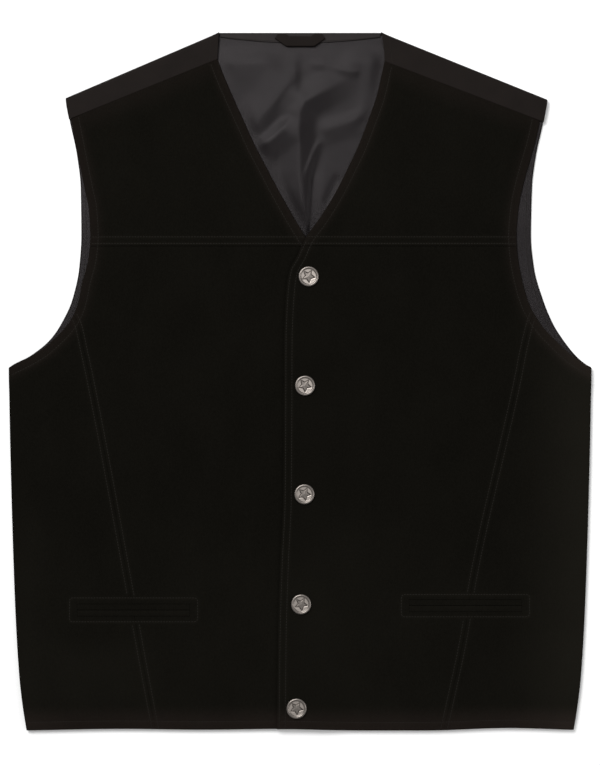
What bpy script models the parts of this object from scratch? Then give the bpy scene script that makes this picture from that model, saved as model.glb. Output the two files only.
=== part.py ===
"""Suede vest, snapped shut and laid flat on its back.

Blender works in metres. The sizes below are in millimetres, and MM turns them into metres where a mesh is made.
+X runs across the vest to the wearer's left side, +Y from the hem to the neck and +Z up from the table.
The origin is the middle of the vest's outline, on the table. Left and right are the wearer's.

A point of the vest is given by three sizes: how far out it lies from the middle line, towards one side, how high it
lies above the hem, and how far it stands above the table.
"""

import math

import bpy
import numpy as np

MM = 0.001


def table(columns, *rows):
    """A short table as a list of rows, each a dictionary with the named columns."""
    return [dict(zip(columns.split(), row)) for row in rows]


# Driving sizes of the garment
LENGTH = 671.0
NECK_HALF = 78.0
YOKE_SEAM = 465.6
V_POINT = 475.0
UNDERARM = 349.0
SEAM_GAP = 0.3
TIP_WIDTH = 1.2

# Walls, as they lie on each other from the table up
BACK_WALL = 1.4
LINING_WALL = 1.0
FRONT_WALL = 1.8
AIR = 2.9
LINING_TOP = BACK_WALL + SEAM_GAP + LINING_WALL
FRONT_TOP = LINING_TOP + AIR + FRONT_WALL

SIDE = table(
    "height out",
    (0, 263.0),
    (24, 266.8),
    (48, 269.6),
    (96, 272.8),
    (144, 274.9),
    (216, 277.2),
    (289, 279.0),
    (349, 280.0),
)
BACK_ARMHOLE = table(
    "height right left",
    (349, 280.0, 280.0),
    (352, 275.6, 275.0),
    (360, 259.8, 265.6),
    (376, 240.3, 252.8),
    (391, 229.9, 243.4),
    (414, 219.3, 233.8),
    (445, 212.6, 225.1),
    (476, 210.6, 222.2),
    (522, 211.2, 223.2),
    (553, 214.7, 227.0),
    (584, 221.2, 233.8),
    (605, 225.1, 237.6),
    (608, 225.3, 237.9),
)
FRONT_ARMHOLE = table(
    "height right left",
    (349, 280.0, 280.0),
    (356, 265.5, 267.2),
    (366, 248.5, 254.8),
    (376, 236.8, 244.5),
    (385, 227.8, 235.8),
    (395, 220.3, 228.3),
    (410, 213.8, 220.2),
    (430, 209.5, 214.1),
    (455, 203.4, 209.4),
    (475, 201.7, 208.0),
    (500, 203.0, 209.8),
    (522, 207.4, 214.0),
    (545, 212.0, 220.2),
    (566, 216.1, 226.2),
    (588, 220.4, 231.0),
)
# The inner edge of each front: the closing edge up to the point of the V, then the neckline
INNER_EDGE = table(
    "height right left",
    (0, -16.0, -22.2),
    (90, -18.8, -21.3),
    (163, -21.2, -19.1),
    (223, -22.8, -16.4),
    (300, -24.0, -15.9),
    (375, -23.6, -15.6),
    (407, -23.3, -14.4),
    (427, -22.8, -12.9),
    (442, -20.2, -10.4),
    (456, -15.2, -2.9),
    (466, -10.3, 1.5),
    (475, -4.8, 6.4),
    (494, 6.7, 20.0),
    (517, 19.6, 34.0),
    (540, 31.8, 45.6),
    (562, 43.3, 56.0),
    (586, 54.2, 65.2),
    (609, 64.6, 73.3),
    (632, 74.4, 78.7),
    (645, 79.4, 81.5),
)
PRINCESS_SEAM = table(
    "height right left",
    (0, 139.0, 138.0),
    (97, 156.8, 158.4),
    (140, 164.5, 165.0),
    (341, 202.2, 209.6),
    (363, 207.0, 213.8),
    (391, 213.5, 220.6),
    (403, 219.8, 225.0),
    (420, 230.0, 233.0),
)
# Where the shoulder folds, and where the front is sewn to the back below that fold
SHOULDERS = {
    "right": {"sign": -1, "tip_height": 608.0, "seam_tip_height": 588.0, "seam_neck_height": 645.0},
    "left": {"sign": 1, "tip_height": 606.5, "seam_tip_height": 586.0, "seam_neck_height": 643.0},
}
# How far the front hem wavers above the straight hem line, from the right side to the left
HEM_WAVE = table(
    "across rise",
    (-263, 0.0),
    (-170, 1.6),
    (-95, 0.8),
    (-10, 1.6),
    (60, 0.0),
    (120, 0.0),
    (200, 2.4),
    (263, 0.6),
)
HEM_WAVE_REACH = 60.0

# How far from the edge a side front's last column beside the fold lies
SIDE_FRONT_COLUMN = 16.0
# Where the columns of points run across a panel, as shares of its width
FRONT_COLUMNS = (0.25, 0.45, 0.6, 0.75, 0.88, 1.0)
FRONT_GUIDE = 0.35
YOKE_COLUMNS = (0.0, 0.03, 0.07, 0.13, 0.3, 0.5, 0.7, 0.8, 0.87, 0.94, 1.0)
YOKE_ROWS = (0.0, (0.15, 2), (0.8, 5), (1.0, 3))
BACK_COLUMNS = (0.8, 0.58)
LINING_COLUMNS = (0.55, 0.8, 0.94, 1.0)
# Heights between which the rows of points lie closer or wider apart
BACK_HEM = 2.0
ARMHOLE_BEND = 376.0
ARMHOLE_STRAIGHT = 475.0

# How far the front drops at its edges, and over what width
ARMHOLE_DROP, ARMHOLE_REACH = 2.0, 25.0
HEM_DROP, HEM_REACH = 1.8, 20.0
NECK_DROP, NECK_REACH = 1.2, 25.0
NECK_DROP_FROM, NECK_DROP_FULL = 485.0, 525.0
SIDE_DROP, SIDE_REACH = 0.6, 45.0
SHOULDER_REACH = 35.0
DROP_POWER = 3.0

# The fold down each side, where the front meets the back, and the distances from it of the columns that round it
FOLD_REACH = 6.0
FOLD_COLUMNS = (1.2, 2.8, FOLD_REACH)
FOLD_FRONT_DROP = 3.0
FOLD_BACK_RISE = 2.5
FOLD_LIP = 0.8
FOLD_WHOLE = 318.0

# The fold over each shoulder, which is a plain crease where it starts at the neck
SHOULDER_DEPTH = 4.0
NECK_CORNER = 14.0
STRIP_BLEND = 40.0
SHOULDER_HALF_HEIGHT = 3.2
SHOULDER_TOP = 2 * SHOULDER_HALF_HEIGHT

# The left front lies on the right one and slopes down past its edge
LAP_GAP = 0.7
LAP_LIFT = FRONT_WALL + LAP_GAP
LAP_RAMP = 35.0

# Lining: how far its edge lies inside the back's
LINING_AT_SIDE = 9.0
LINING_AT_ARMHOLE = 1.2
LINING_AT_SHOULDER = 9.0
LINING_AT_NECK = 3.0
LINING_AT_HEM = 18.0
LINING_OPENS = 20.0
LINING_NECK_SHARE = 0.37
LINING_NECK_STEPS, LINING_V_ROWS = 8, 17
# Its largest folds, each a soft ridge between two places in the V
LINING_FOLDS = table(
    "across1 height1 across2 height2 half_width rise",
    (-54, 568, -3, 636, 10, 2.2),
    (-42, 558, -12, 582, 8, 2.4),
    (4, 486, -1, 596, 9, 2.8),
    (-1, 597, 44, 626, 9, 2.8),
    (22, 578, 60, 590, 8, 1.5),
    (-70, 642, -30, 644, 9, 1.4),
    (46, 648, 74, 640, 8, 1.4),
)
FOLD_FREE_OF_EDGE = 26.0
FOLD_UNDER_EDGE = 0.25

# Neck band and hanger loop
BAND_WALL = 1.0
BAND_DEPTH_MIDDLE, BAND_DEPTH_END = 8.5, 3.0
BAND_HALF = 77.0
BAND_SETBACK = 1.5
LOOP_WALL = 1.6
LOOP_WIDTH = 9.8
LOOP_LINE = table("across height", (-21.5, 669.0), (-12.0, 662.4), (12.0, 662.4), (21.5, 669.0))

# Pockets: a window through the front, filled by two lips that meet at a slit
POCKET_WIDTH, POCKET_HEIGHT = 108.0, 12.0
POCKET_BLEND = 60.0
POCKETS = {"right": {"out": 160.0, "height": 116.0}, "left": {"out": 158.7, "height": 120.3}}
LIP_SINK, LIP_WALL, LIP_SLIT = 0.4, 1.2, 0.8

# Snap caps: how far each lies from the closing edge, and how far its star is turned
SNAPS = table(
    "height inset turn",
    (436.2, 19.8, -83),
    (331.6, 20.5, -88),
    (227.5, 20.5, -77),
    (122.0, 21.5, -82),
    (22.2, 18.6, -83),
)
SNAP_PROFILE = table(
    "radius rise",
    (9.2, 0.0),
    (9.75, 0.6),
    (9.65, 1.4),
    (8.9, 2.1),
    (7.9, 2.2),
    (7.3, 1.6),
)
SNAP_SIDES = 30
STAR_CORNERS = 10
STAR_TIP, STAR_NOTCH = 6.1, 3.1
STAR_TIP_RISE, STAR_NOTCH_RISE, STAR_MIDDLE_RISE = 1.6, 1.7, 1.9

SUEDE = ("suede", (0.010, 0.009, 0.008), 0.95, 0.0)
BACK_CLOTH = ("back_cloth", (0.022, 0.018, 0.017), 0.85, 0.0)
SATIN = ("satin", (0.035, 0.033, 0.035), 0.45, 0.0)
METAL = ("antique_silver", (0.42, 0.40, 0.38), 0.35, 1.0)


def curve(rows, column, key="height"):
    """A smooth curve through one column of a table, as a function of its key, that never overshoots a row."""
    at = np.array([row[key] for row in rows], float)
    value = np.array([row[column] for row in rows], float)
    step = np.diff(at)
    slope = np.diff(value) / step
    tangent = np.concatenate([slope[:1], np.zeros(len(at) - 2), slope[-1:]])
    for i in range(1, len(at) - 1):
        if slope[i - 1] * slope[i] > 0:
            tangent[i] = 2 / (1 / slope[i - 1] + 1 / slope[i])

    def read(where):
        i = int(np.clip(np.searchsorted(at, where) - 1, 0, len(step) - 1))
        t = float(np.clip((where - at[i]) / step[i], 0, 1))
        start = (1 + 2 * t) * (1 - t) ** 2 * value[i] + t * (1 - t) ** 2 * step[i] * tangent[i]
        end = t * t * (3 - 2 * t) * value[i + 1] + t * t * (t - 1) * step[i] * tangent[i + 1]
        return float(start + end)

    return read


SIDES = ("right", "left")
side_edge = curve(SIDE, "out")
back_armhole = {side: curve(BACK_ARMHOLE, side) for side in SIDES}
front_armhole = {side: curve(FRONT_ARMHOLE, side) for side in SIDES}
inner_edge = {side: curve(INNER_EDGE, side) for side in SIDES}
princess_seam = {side: curve(PRINCESS_SEAM, side) for side in SIDES}
hem_wave = curve(HEM_WAVE, "rise", key="across")


def ease(t):
    """0 below 0, 1 above 1 and a smooth step between."""
    t = min(1.0, max(0.0, t))
    return t * t * (3 - 2 * t)


def mix(a, b, t):
    return a + (b - a) * t


def levels(*stops):
    """Values from the first stop to the last; each stop after the first is (value, steps that lead up to it)."""
    values = [stops[0]]
    for value, steps in stops[1:]:
        start = values[-1]
        values += [mix(start, value, (i + 1) / steps) for i in range(steps)]
    return values


# Outlines


def front_outer(side, height):
    """The outer edge of a front: the side up to the underarm, then the front armhole."""
    return side_edge(height) if height <= UNDERARM else front_armhole[side](height)


def back_outer(side, height):
    return side_edge(height) if height <= UNDERARM else back_armhole[side](height)


def tip_out(side):
    return back_armhole[side](SHOULDERS[side]["tip_height"])


def shoulder_fold(side, out):
    """How high the shoulder's fold lies at this distance from the middle; level across the back neck."""
    share = max(0.0, (out - NECK_HALF) / (tip_out(side) - NECK_HALF))
    return mix(LENGTH, SHOULDERS[side]["tip_height"], share)


def fold_depth(out):
    """How far the shoulder's fold reaches over at this distance from the middle."""
    return SHOULDER_DEPTH * ease((out - NECK_HALF) / NECK_CORNER)


def shoulder_seam(side, out):
    """How high the shoulder seam lies, on a straight line from the neckline to the armhole."""
    tip, neck = SHOULDERS[side]["seam_tip_height"], SHOULDERS[side]["seam_neck_height"]
    inner, outer = inner_edge[side](neck), front_armhole[side](tip)
    return mix(neck, tip, (out - inner) / (outer - inner))


def panel_seam(side, height):
    """The outer edge of a centre front: the princess seam up to the armhole, then the armhole."""
    return min(princess_seam[side](height), front_armhole[side](max(height, UNDERARM)))


# Heights above the table


def folded(height):
    """How far the side is folded shut at this height: 1 along the side, 0 from the underarm up."""
    return 1 - ease((height - FOLD_WHOLE) / (UNDERARM - FOLD_WHOLE))


def round_off(distance):
    """1 at a fold's outermost line, 0 where its quarter round ends."""
    t = min(1.0, max(0.0, distance / FOLD_REACH))
    return 1 - math.sqrt(1 - (1 - t) ** 2)


def front_drop(side, out, height):
    """How far a front lies below its middle, from all the edges near this place together."""
    fold = folded(height)
    edge = front_outer(side, height) - out
    neck = ease((height - NECK_DROP_FROM) / (NECK_DROP_FULL - NECK_DROP_FROM))
    drops = (
        fold * FOLD_FRONT_DROP * round_off(edge),
        fold * SIDE_DROP * (1 - ease(edge / SIDE_REACH)),
        (1 - fold) * ARMHOLE_DROP * (1 - ease(edge / ARMHOLE_REACH)),
        HEM_DROP * (1 - ease(height / HEM_REACH)),
        neck * NECK_DROP * (1 - ease((out - inner_edge[side](height)) / NECK_REACH)),
        (FRONT_TOP - SHOULDER_TOP) * (1 - ease((shoulder_seam(side, out) - height) / SHOULDER_REACH)),
    )
    return sum(drop**DROP_POWER for drop in drops) ** (1 / DROP_POWER)


def front_top(side, out, height):
    """How high the face of a front stands above the table."""
    top = FRONT_TOP - front_drop(side, out, height)
    if side == "left":
        past_lap = out + inner_edge["right"](height)
        top += LAP_LIFT * ease(1 - past_lap / LAP_RAMP)
    return top


def lining_rise(across, height):
    """How far the lining's folds lift it, held down near the edges of the V."""
    level = max(height, V_POINT)
    inside = min(across + inner_edge["right"](level), inner_edge["left"](level) - across)
    share = mix(FOLD_UNDER_EDGE, 1.0, ease(inside / FOLD_FREE_OF_EDGE))
    rise = 0.0
    for fold in LINING_FOLDS:
        start = np.array((fold["across1"], fold["height1"]), float)
        along = np.array((fold["across2"], fold["height2"]), float) - start
        here = np.array((across, height)) - start
        t = float(np.clip(here @ along / (along @ along), 0, 1))
        away = float(np.linalg.norm(here - t * along)) / fold["half_width"]
        rise = max(rise, fold["rise"] * ease(1 - away / 2))
    return share * rise


# Making solids


def material(look):
    name, colour, roughness, metallic = look
    made = bpy.data.materials.get(name)
    if made is None:
        made = bpy.data.materials.new(name)
        made.use_nodes = True
        shader = made.node_tree.nodes["Principled BSDF"]
        shader.inputs["Base Color"].default_value = (*colour, 1)
        shader.inputs["Roughness"].default_value = roughness
        shader.inputs["Metallic"].default_value = metallic
        made.diffuse_color = (*colour, 1)
    return made


def solid(name, points, faces, look):
    """A named object from points in millimetres, (across, height above the hem, height above the table)."""
    placed = [(x * MM, (y - LENGTH / 2) * MM, z * MM) for x, y, z in points]
    mesh = bpy.data.meshes.new(name)
    mesh.from_pydata(placed, [], faces)
    mesh.shade_smooth()
    mesh.set_sharp_from_angle(angle=math.radians(40))
    made = bpy.data.objects.new(name, mesh)
    made.data.materials.append(material(look))
    bpy.context.scene.collection.objects.link(made)
    return made


def grid_faces(grid, flip):
    """Quads between the rows of a grid of point numbers; a cell with a missing corner is left open."""
    faces = []
    for low, high in zip(grid, grid[1:]):
        for cell in zip(low, low[1:], high[1:], high):
            if None not in cell:
                faces.append(cell[::-1] if flip else cell)
    return faces


def cloth(name, rows, wall, look, flip=False, keep=None):
    """A wall of cloth whose face goes through these rows of points, None where there is no cloth."""
    points, grid = [], []
    for row in rows:
        numbers = []
        for point in row:
            numbers.append(None if point is None else len(points))
            if point is not None:
                points.append(point)
        grid.append(numbers)
    faces = grid_faces(grid, flip)
    if keep:
        faces = [face for face in faces if keep(np.mean([points[i] for i in face], axis=0))]
    used = sorted({i for face in faces for i in face})
    renumbered = {old: new for new, old in enumerate(used)}
    faces = [tuple(renumbered[i] for i in face) for face in faces]
    made = solid(name, [points[i] for i in used], faces, look)
    thickness = made.modifiers.new("wall", "SOLIDIFY")
    thickness.thickness = wall * MM
    thickness.offset = -1
    thickness.use_even_offset = True
    return made


# Fronts


def front_point(side, out, height, lip=0.0):
    """A point on the face of a front. The hem wavers, and less so further up."""
    across = SHOULDERS[side]["sign"] * out
    waver = hem_wave(across) * max(0.0, 1 - height / HEM_WAVE_REACH)
    return (across, height + waver, front_top(side, out, height) - lip)


def edge_insets(height):
    """Distances from a panel's outer edge of its outermost columns. The first two share the edge of a folded side."""
    return [0.0, FOLD_LIP * (1 - folded(height)), *FOLD_COLUMNS]


def clear_of_pocket(side):
    """A test for the middle of a face: true if it lies outside the pocket's window."""
    pocket = POCKETS[side]

    def outside(middle):
        across = abs(abs(middle[0]) - pocket["out"]) > POCKET_WIDTH / 2
        return across or abs(middle[1] - pocket["height"]) > POCKET_HEIGHT / 2

    return outside


def pocket_levels(side):
    """The heights of a front's rows from the hem past the pocket's window."""
    low = POCKETS[side]["height"] - POCKET_HEIGHT / 2
    return levels(0.0, (HEM_REACH, 3), (low, 2), (low + POCKET_HEIGHT, 1))


def near_pocket(side, height):
    """1 at the height of the pocket's window, falling to 0 away from it."""
    away = abs(height - POCKETS[side]["height"]) - POCKET_HEIGHT / 2
    return ease(1 - away / POCKET_BLEND)


def side_front_tip(side):
    """The height at which a side front has narrowed to a small blunt end under the armhole."""
    tip = UNDERARM
    while front_armhole[side](tip) - princess_seam[side](tip) > TIP_WIDTH:
        tip += 0.5
    return tip


def seam_levels(side):
    """The heights of the rows that both panels beside a princess seam share, from the hem to its upper end."""
    low = pocket_levels(side)
    return low + levels(low[-1], (FOLD_WHOLE, 4), (UNDERARM, 3), (side_front_tip(side), 5))[1:]


def side_front(side):
    """From the princess seam out to the side seam, where it turns down, or to the armhole above that."""
    window = POCKETS[side]["out"] + POCKET_WIDTH / 2
    rows = []
    for height in seam_levels(side):
        outer, inner = front_outer(side, height), princess_seam[side](height) + SEAM_GAP / 2
        width, fold = outer - inner, folded(height)
        insets = [*edge_insets(height), SIDE_FRONT_COLUMN]
        narrow = width / (len(insets) + 2)
        insets = [min(inset, narrow * i) for i, inset in enumerate(insets)]
        middle = mix(mix(insets[-1], width, FRONT_GUIDE), outer - window, near_pocket(side, height))
        insets += [middle, mix(middle, width, 0.5), width]
        row = [front_point(side, outer - inset, height) for inset in insets]
        row[0] = front_point(side, outer, height, lip=FOLD_LIP * fold)
        rows.append(row)
    cloth(f"side_front_{side}", rows, FRONT_WALL, SUEDE, flip=side == "left", keep=clear_of_pocket(side))


def centre_front(side):
    """From the princess seam to the closing edge, up to the yoke seam."""
    window = POCKETS[side]["out"] - POCKET_WIDTH / 2
    rows = []
    heights = seam_levels(side)
    for height in heights + levels(heights[-1], (YOKE_SEAM - SEAM_GAP / 2, 5))[1:]:
        outer, inner = panel_seam(side, height) - SEAM_GAP / 2, inner_edge[side](height)
        guide = mix(mix(outer, inner, FRONT_GUIDE), window, near_pocket(side, height))
        outs = [outer, mix(outer, guide, FRONT_GUIDE), guide]
        outs += [mix(guide, inner, share) for share in FRONT_COLUMNS]
        rows.append([front_point(side, out, height) for out in outs])
    cloth(f"front_{side}", rows, FRONT_WALL, SUEDE, flip=side == "left", keep=clear_of_pocket(side))


def yoke(side):
    """From the yoke seam to the shoulder seam, between armhole and neckline."""
    shoulder = SHOULDERS[side]
    low = YOKE_SEAM + SEAM_GAP / 2
    rows = []
    for share in levels(*YOKE_ROWS):
        outer_height = mix(low, shoulder["seam_tip_height"] - SEAM_GAP, share)
        inner_height = mix(low, shoulder["seam_neck_height"] - SEAM_GAP, share)
        outer, inner = front_armhole[side](outer_height), inner_edge[side](inner_height)
        row = []
        for step in YOKE_COLUMNS:
            row.append(front_point(side, mix(outer, inner, step), mix(outer_height, inner_height, step)))
        rows.append(row)
    cloth(f"yoke_{side}", rows, FRONT_WALL, SUEDE, flip=side == "left")


def pocket_lips(side):
    """Two strips that fill the pocket's window and meet at its slit."""
    pocket = POCKETS[side]
    half = POCKET_WIDTH / 2 - SEAM_GAP
    edge = POCKET_HEIGHT / 2 - SEAM_GAP
    for name, low, high in (("upper", LIP_SLIT / 2, edge), ("lower", -edge, -LIP_SLIT / 2)):
        rows = []
        for height in levels(pocket["height"] + low, (pocket["height"] + high, 2)):
            row = []
            for out in levels(pocket["out"] + half, (pocket["out"] - half, 12)):
                x, y, z = front_point(side, out, height)
                row.append((x, y, z - LIP_SINK))
            rows.append(row)
        cloth(f"pocket_lip_{name}_{side}", rows, LIP_WALL, SUEDE, flip=side == "left")


# Back


def back_out(side, column, height):
    """How far out a column of the back lies: the first few follow the edge, the rest share what is left."""
    outer = back_outer(side, min(height, SHOULDERS[side]["tip_height"]))
    insets = edge_insets(height)
    if column < len(insets):
        return outer - insets[column]
    neck_share = NECK_HALF / (tip_out(side) - FOLD_REACH)
    shares = (*BACK_COLUMNS, neck_share, neck_share / 2, 0.0)
    return shares[column - len(insets)] * (outer - FOLD_REACH)


NECK_COLUMN = 2 + len(FOLD_COLUMNS) + len(BACK_COLUMNS)
MIDDLE_COLUMN = NECK_COLUMN + 2


def back_under(side, column, height):
    """How high the back's outside stands above the table: flat but for the fold up each side."""
    fold = folded(height)
    lip = FOLD_LIP * fold if column == 0 else 0.0
    edge = back_outer(side, height) - back_out(side, column, height)
    return fold * FOLD_BACK_RISE * round_off(edge) + lip


def strip_out(side, column, height, share):
    """How far out a column of the shoulder strip lies, this share of the way down to its seam.
    The end at the neck moves out until it meets the neckline."""
    out = back_out(side, column, height)
    spread = inner_edge[side](SHOULDERS[side]["seam_neck_height"]) - NECK_HALF
    return out + spread * math.sin(share * math.pi / 2) * ease(1 - (out - NECK_HALF) / STRIP_BLEND)


def seam_end(side, column):
    """Where a column of the back ends at the shoulder seam, found by stepping towards it."""
    height = SHOULDERS[side]["seam_neck_height"]
    for _ in range(6):
        height = shoulder_seam(side, strip_out(side, column, height, 1.0))
    return height


def back_column(side, column):
    """One column of the back's outside, from the hem up and, beside the neck, over the shoulder to its seam."""
    sign = SHOULDERS[side]["sign"]

    def at(height, z):
        return (sign * back_out(side, column, height), height, z)

    low = levels(BACK_HEM, (FOLD_WHOLE, 3), (UNDERARM, 4), (ARMHOLE_BEND, 4), (ARMHOLE_STRAIGHT, 4))
    points = [at(height, back_under(side, column, height)) for height in low]
    top = shoulder_fold(side, back_out(side, column, SHOULDERS[side]["tip_height"]))
    if column > NECK_COLUMN:
        return points + [at(height, 0.0) for height in levels(ARMHOLE_STRAIGHT, (top, 3))[1:]]
    depth = fold_depth(back_out(side, column, SHOULDERS[side]["tip_height"]))
    points += [at(height, 0.0) for height in levels(ARMHOLE_STRAIGHT, (top - depth, 3))[1:]]
    for angle in (-45, 0, 45, 90):
        turn = math.radians(angle)
        height = top - depth * (1 - math.cos(turn))
        points.append(at(height, SHOULDER_HALF_HEIGHT * (1 + math.sin(turn))))
    for share in (0.5, 1.0):
        height = mix(top - depth, seam_end(side, column), share)
        points.append((sign * strip_out(side, column, height, share), height, SHOULDER_TOP))
    return points


def back():
    columns = [back_column("right", column) for column in range(MIDDLE_COLUMN + 1)]
    columns += [back_column("left", column) for column in reversed(range(MIDDLE_COLUMN))]
    tallest = max(map(len, columns))
    rows = [[column[i] if i < len(column) else None for column in columns] for i in range(tallest)]
    cloth("back", rows, BACK_WALL, BACK_CLOTH, flip=True)


def lining_out(side, share, height):
    """How far out the lining reaches at this share of its width, inside the back's edge."""
    tip = SHOULDERS[side]["tip_height"] - LINING_AT_SHOULDER
    inset = mix(LINING_AT_ARMHOLE, LINING_AT_SIDE, folded(height - LINING_OPENS))
    return share * (back_outer(side, min(height, tip)) - inset)


def back_lining():
    """The lining over the inside of the back, with its points closest together where it shows in the V."""
    shares = levels(0.0, (LINING_NECK_SHARE, LINING_NECK_STEPS)) + list(LINING_COLUMNS)
    columns = [("right", share) for share in reversed(shares)] + [("left", share) for share in shares[1:]]
    low = levels(LINING_AT_HEM, (UNDERARM, 3), (ARMHOLE_BEND, 3), (ARMHOLE_STRAIGHT, 4))
    rows = []
    for i in range(len(low) + LINING_V_ROWS):
        row = []
        for side, share in columns:
            reach = lining_out(side, share, LENGTH)
            inset = mix(LINING_AT_NECK, LINING_AT_SHOULDER, ease((reach - NECK_HALF) / NECK_CORNER))
            top = shoulder_fold(side, reach) - inset
            share_up = (i - len(low) + 1) / LINING_V_ROWS
            height = low[i] if i < len(low) else mix(low[-1], top, share_up)
            across = SHOULDERS[side]["sign"] * lining_out(side, share, height)
            row.append((across, height, LINING_TOP + lining_rise(across, height)))
        rows.append(row)
    cloth("back_lining", rows, LINING_WALL, SATIN)


def neck_band():
    """The facing along the inside of the back neck, deepest in the middle."""
    face = LINING_TOP + SEAM_GAP + BAND_WALL
    rows = []
    for share in (0.0, 0.5, 1.0):
        row = []
        for across in levels(-BAND_HALF, (BAND_HALF, 16)):
            depth = mix(BAND_DEPTH_MIDDLE, BAND_DEPTH_END, (across / BAND_HALF) ** 2)
            row.append((across, LENGTH - BAND_SETBACK - depth * (1 - share), face))
        rows.append(row)
    cloth("neck_band", rows, BAND_WALL, BACK_CLOTH)


def hanger_loop():
    """A folded strip that lies on the neck band, with mitred corners."""
    line = [np.array((row["across"], row["height"])) for row in LOOP_LINE]
    runs = [(b - a) / np.linalg.norm(b - a) for a, b in zip(line, line[1:])]
    across_runs = [np.array((-run[1], run[0])) for run in runs]
    face = LINING_TOP + 2 * SEAM_GAP + BAND_WALL + LOOP_WALL
    rows = []
    for edge in (-0.5, 0.5):
        row = []
        for i, corner in enumerate(line):
            before, after = across_runs[max(0, i - 1)], across_runs[min(i, len(runs) - 1)]
            mitre = before + after
            mitre = mitre / (mitre @ after)
            x, y = corner + edge * LOOP_WIDTH * mitre
            row.append((float(x), min(float(y), LENGTH - BAND_SETBACK), face))
        rows.append(row)
    cloth("hanger_loop", rows, LOOP_WALL, BACK_CLOTH)


# Snaps


def ring(radius, rise, sides):
    turns = [2 * math.pi * i / sides for i in range(sides)]
    return [(radius * math.cos(turn), radius * math.sin(turn), rise) for turn in turns]


def snap(number, height, inset, turn):
    """A round cap with a raised rim and, in its dish, a raised star. The star's first tip points along turn."""
    points = []
    for row in SNAP_PROFILE:
        points += ring(row["radius"], row["rise"], SNAP_SIDES)
    rings = len(SNAP_PROFILE)
    grid = [[i * SNAP_SIDES + j % SNAP_SIDES for j in range(SNAP_SIDES + 1)] for i in range(rings)]
    faces = grid_faces(grid, flip=False) + [tuple(reversed(range(SNAP_SIDES)))]
    star = len(points)
    for corner in range(STAR_CORNERS):
        tip = corner % 2 == 0
        radius, rise = (STAR_TIP, STAR_TIP_RISE) if tip else (STAR_NOTCH, STAR_NOTCH_RISE)
        points.append(ring(radius, rise, STAR_CORNERS)[corner])
    middle = len(points)
    points.append((0.0, 0.0, STAR_MIDDLE_RISE))
    faces += [(middle, star + i, star + (i + 1) % STAR_CORNERS) for i in range(STAR_CORNERS)]
    last, per_corner = (rings - 1) * SNAP_SIDES, SNAP_SIDES // STAR_CORNERS
    for corner in range(STAR_CORNERS):
        here, after = star + corner, star + (corner + 1) % STAR_CORNERS
        for step in range(per_corner):
            first = last + corner * per_corner + step
            second = last + (corner * per_corner + step + 1) % SNAP_SIDES
            faces.append((first, second, here))
        faces.append((last + ((corner + 1) * per_corner) % SNAP_SIDES, after, here))
    out = inner_edge["left"](height) + inset
    base = front_top("left", out, height) + SEAM_GAP
    cos, sin = math.cos(math.radians(turn)), math.sin(math.radians(turn))
    placed = [(out + x * cos - y * sin, height + x * sin + y * cos, base + z) for x, y, z in points]
    solid(f"snap_{number}", placed, faces, METAL)


def main():
    for old in list(bpy.data.objects):
        bpy.data.objects.remove(old)
    back()
    back_lining()
    neck_band()
    hanger_loop()
    for side in SIDES:
        side_front(side)
        centre_front(side)
        yoke(side)
        pocket_lips(side)
    for number, row in enumerate(SNAPS, 1):
        snap(number, row["height"], row["inset"], row["turn"])


main()
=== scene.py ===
"""Suede vest, snapped shut and laid flat on its back: the fine forms, the sewing and the finish.

Sizes are in millimetres, and MM turns them into metres where a mesh is made. They repeat the tables of the
solids. A place on the vest is given by how far out it lies from the middle line, towards one side, and how
high it lies above the hem; z is its height above the table. Left and right are the wearer's.
"""

import math

import bpy
import numpy as np
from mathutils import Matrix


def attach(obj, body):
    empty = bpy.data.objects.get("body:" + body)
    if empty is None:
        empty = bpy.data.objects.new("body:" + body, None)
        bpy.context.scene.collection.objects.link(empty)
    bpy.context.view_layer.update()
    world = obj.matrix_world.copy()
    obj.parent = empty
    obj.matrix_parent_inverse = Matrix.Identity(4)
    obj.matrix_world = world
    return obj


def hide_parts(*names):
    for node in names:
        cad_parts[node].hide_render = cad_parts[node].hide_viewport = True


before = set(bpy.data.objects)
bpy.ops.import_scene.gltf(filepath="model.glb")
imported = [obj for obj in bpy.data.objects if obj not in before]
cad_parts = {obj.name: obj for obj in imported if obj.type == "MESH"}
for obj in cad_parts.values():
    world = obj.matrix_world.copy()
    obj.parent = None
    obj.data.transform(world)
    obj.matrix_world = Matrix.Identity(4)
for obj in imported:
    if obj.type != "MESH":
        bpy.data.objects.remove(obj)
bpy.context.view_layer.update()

MM = 0.001


def table(columns, *rows):
    """A short table as a list of rows, each a dictionary with the named columns."""
    return [dict(zip(columns.split(), row)) for row in rows]


# Driving sizes of the garment
LENGTH = 671.0
NECK_HALF = 78.0
YOKE_SEAM = 465.6
V_POINT = 475.0
UNDERARM = 349.0
SEAM_GAP = 0.3

# Walls, as they lie on each other from the table up
BACK_WALL = 1.4
LINING_WALL = 1.0
FRONT_WALL = 1.8
AIR = 2.9
LINING_TOP = BACK_WALL + SEAM_GAP + LINING_WALL
FRONT_TOP = LINING_TOP + AIR + FRONT_WALL

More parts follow.
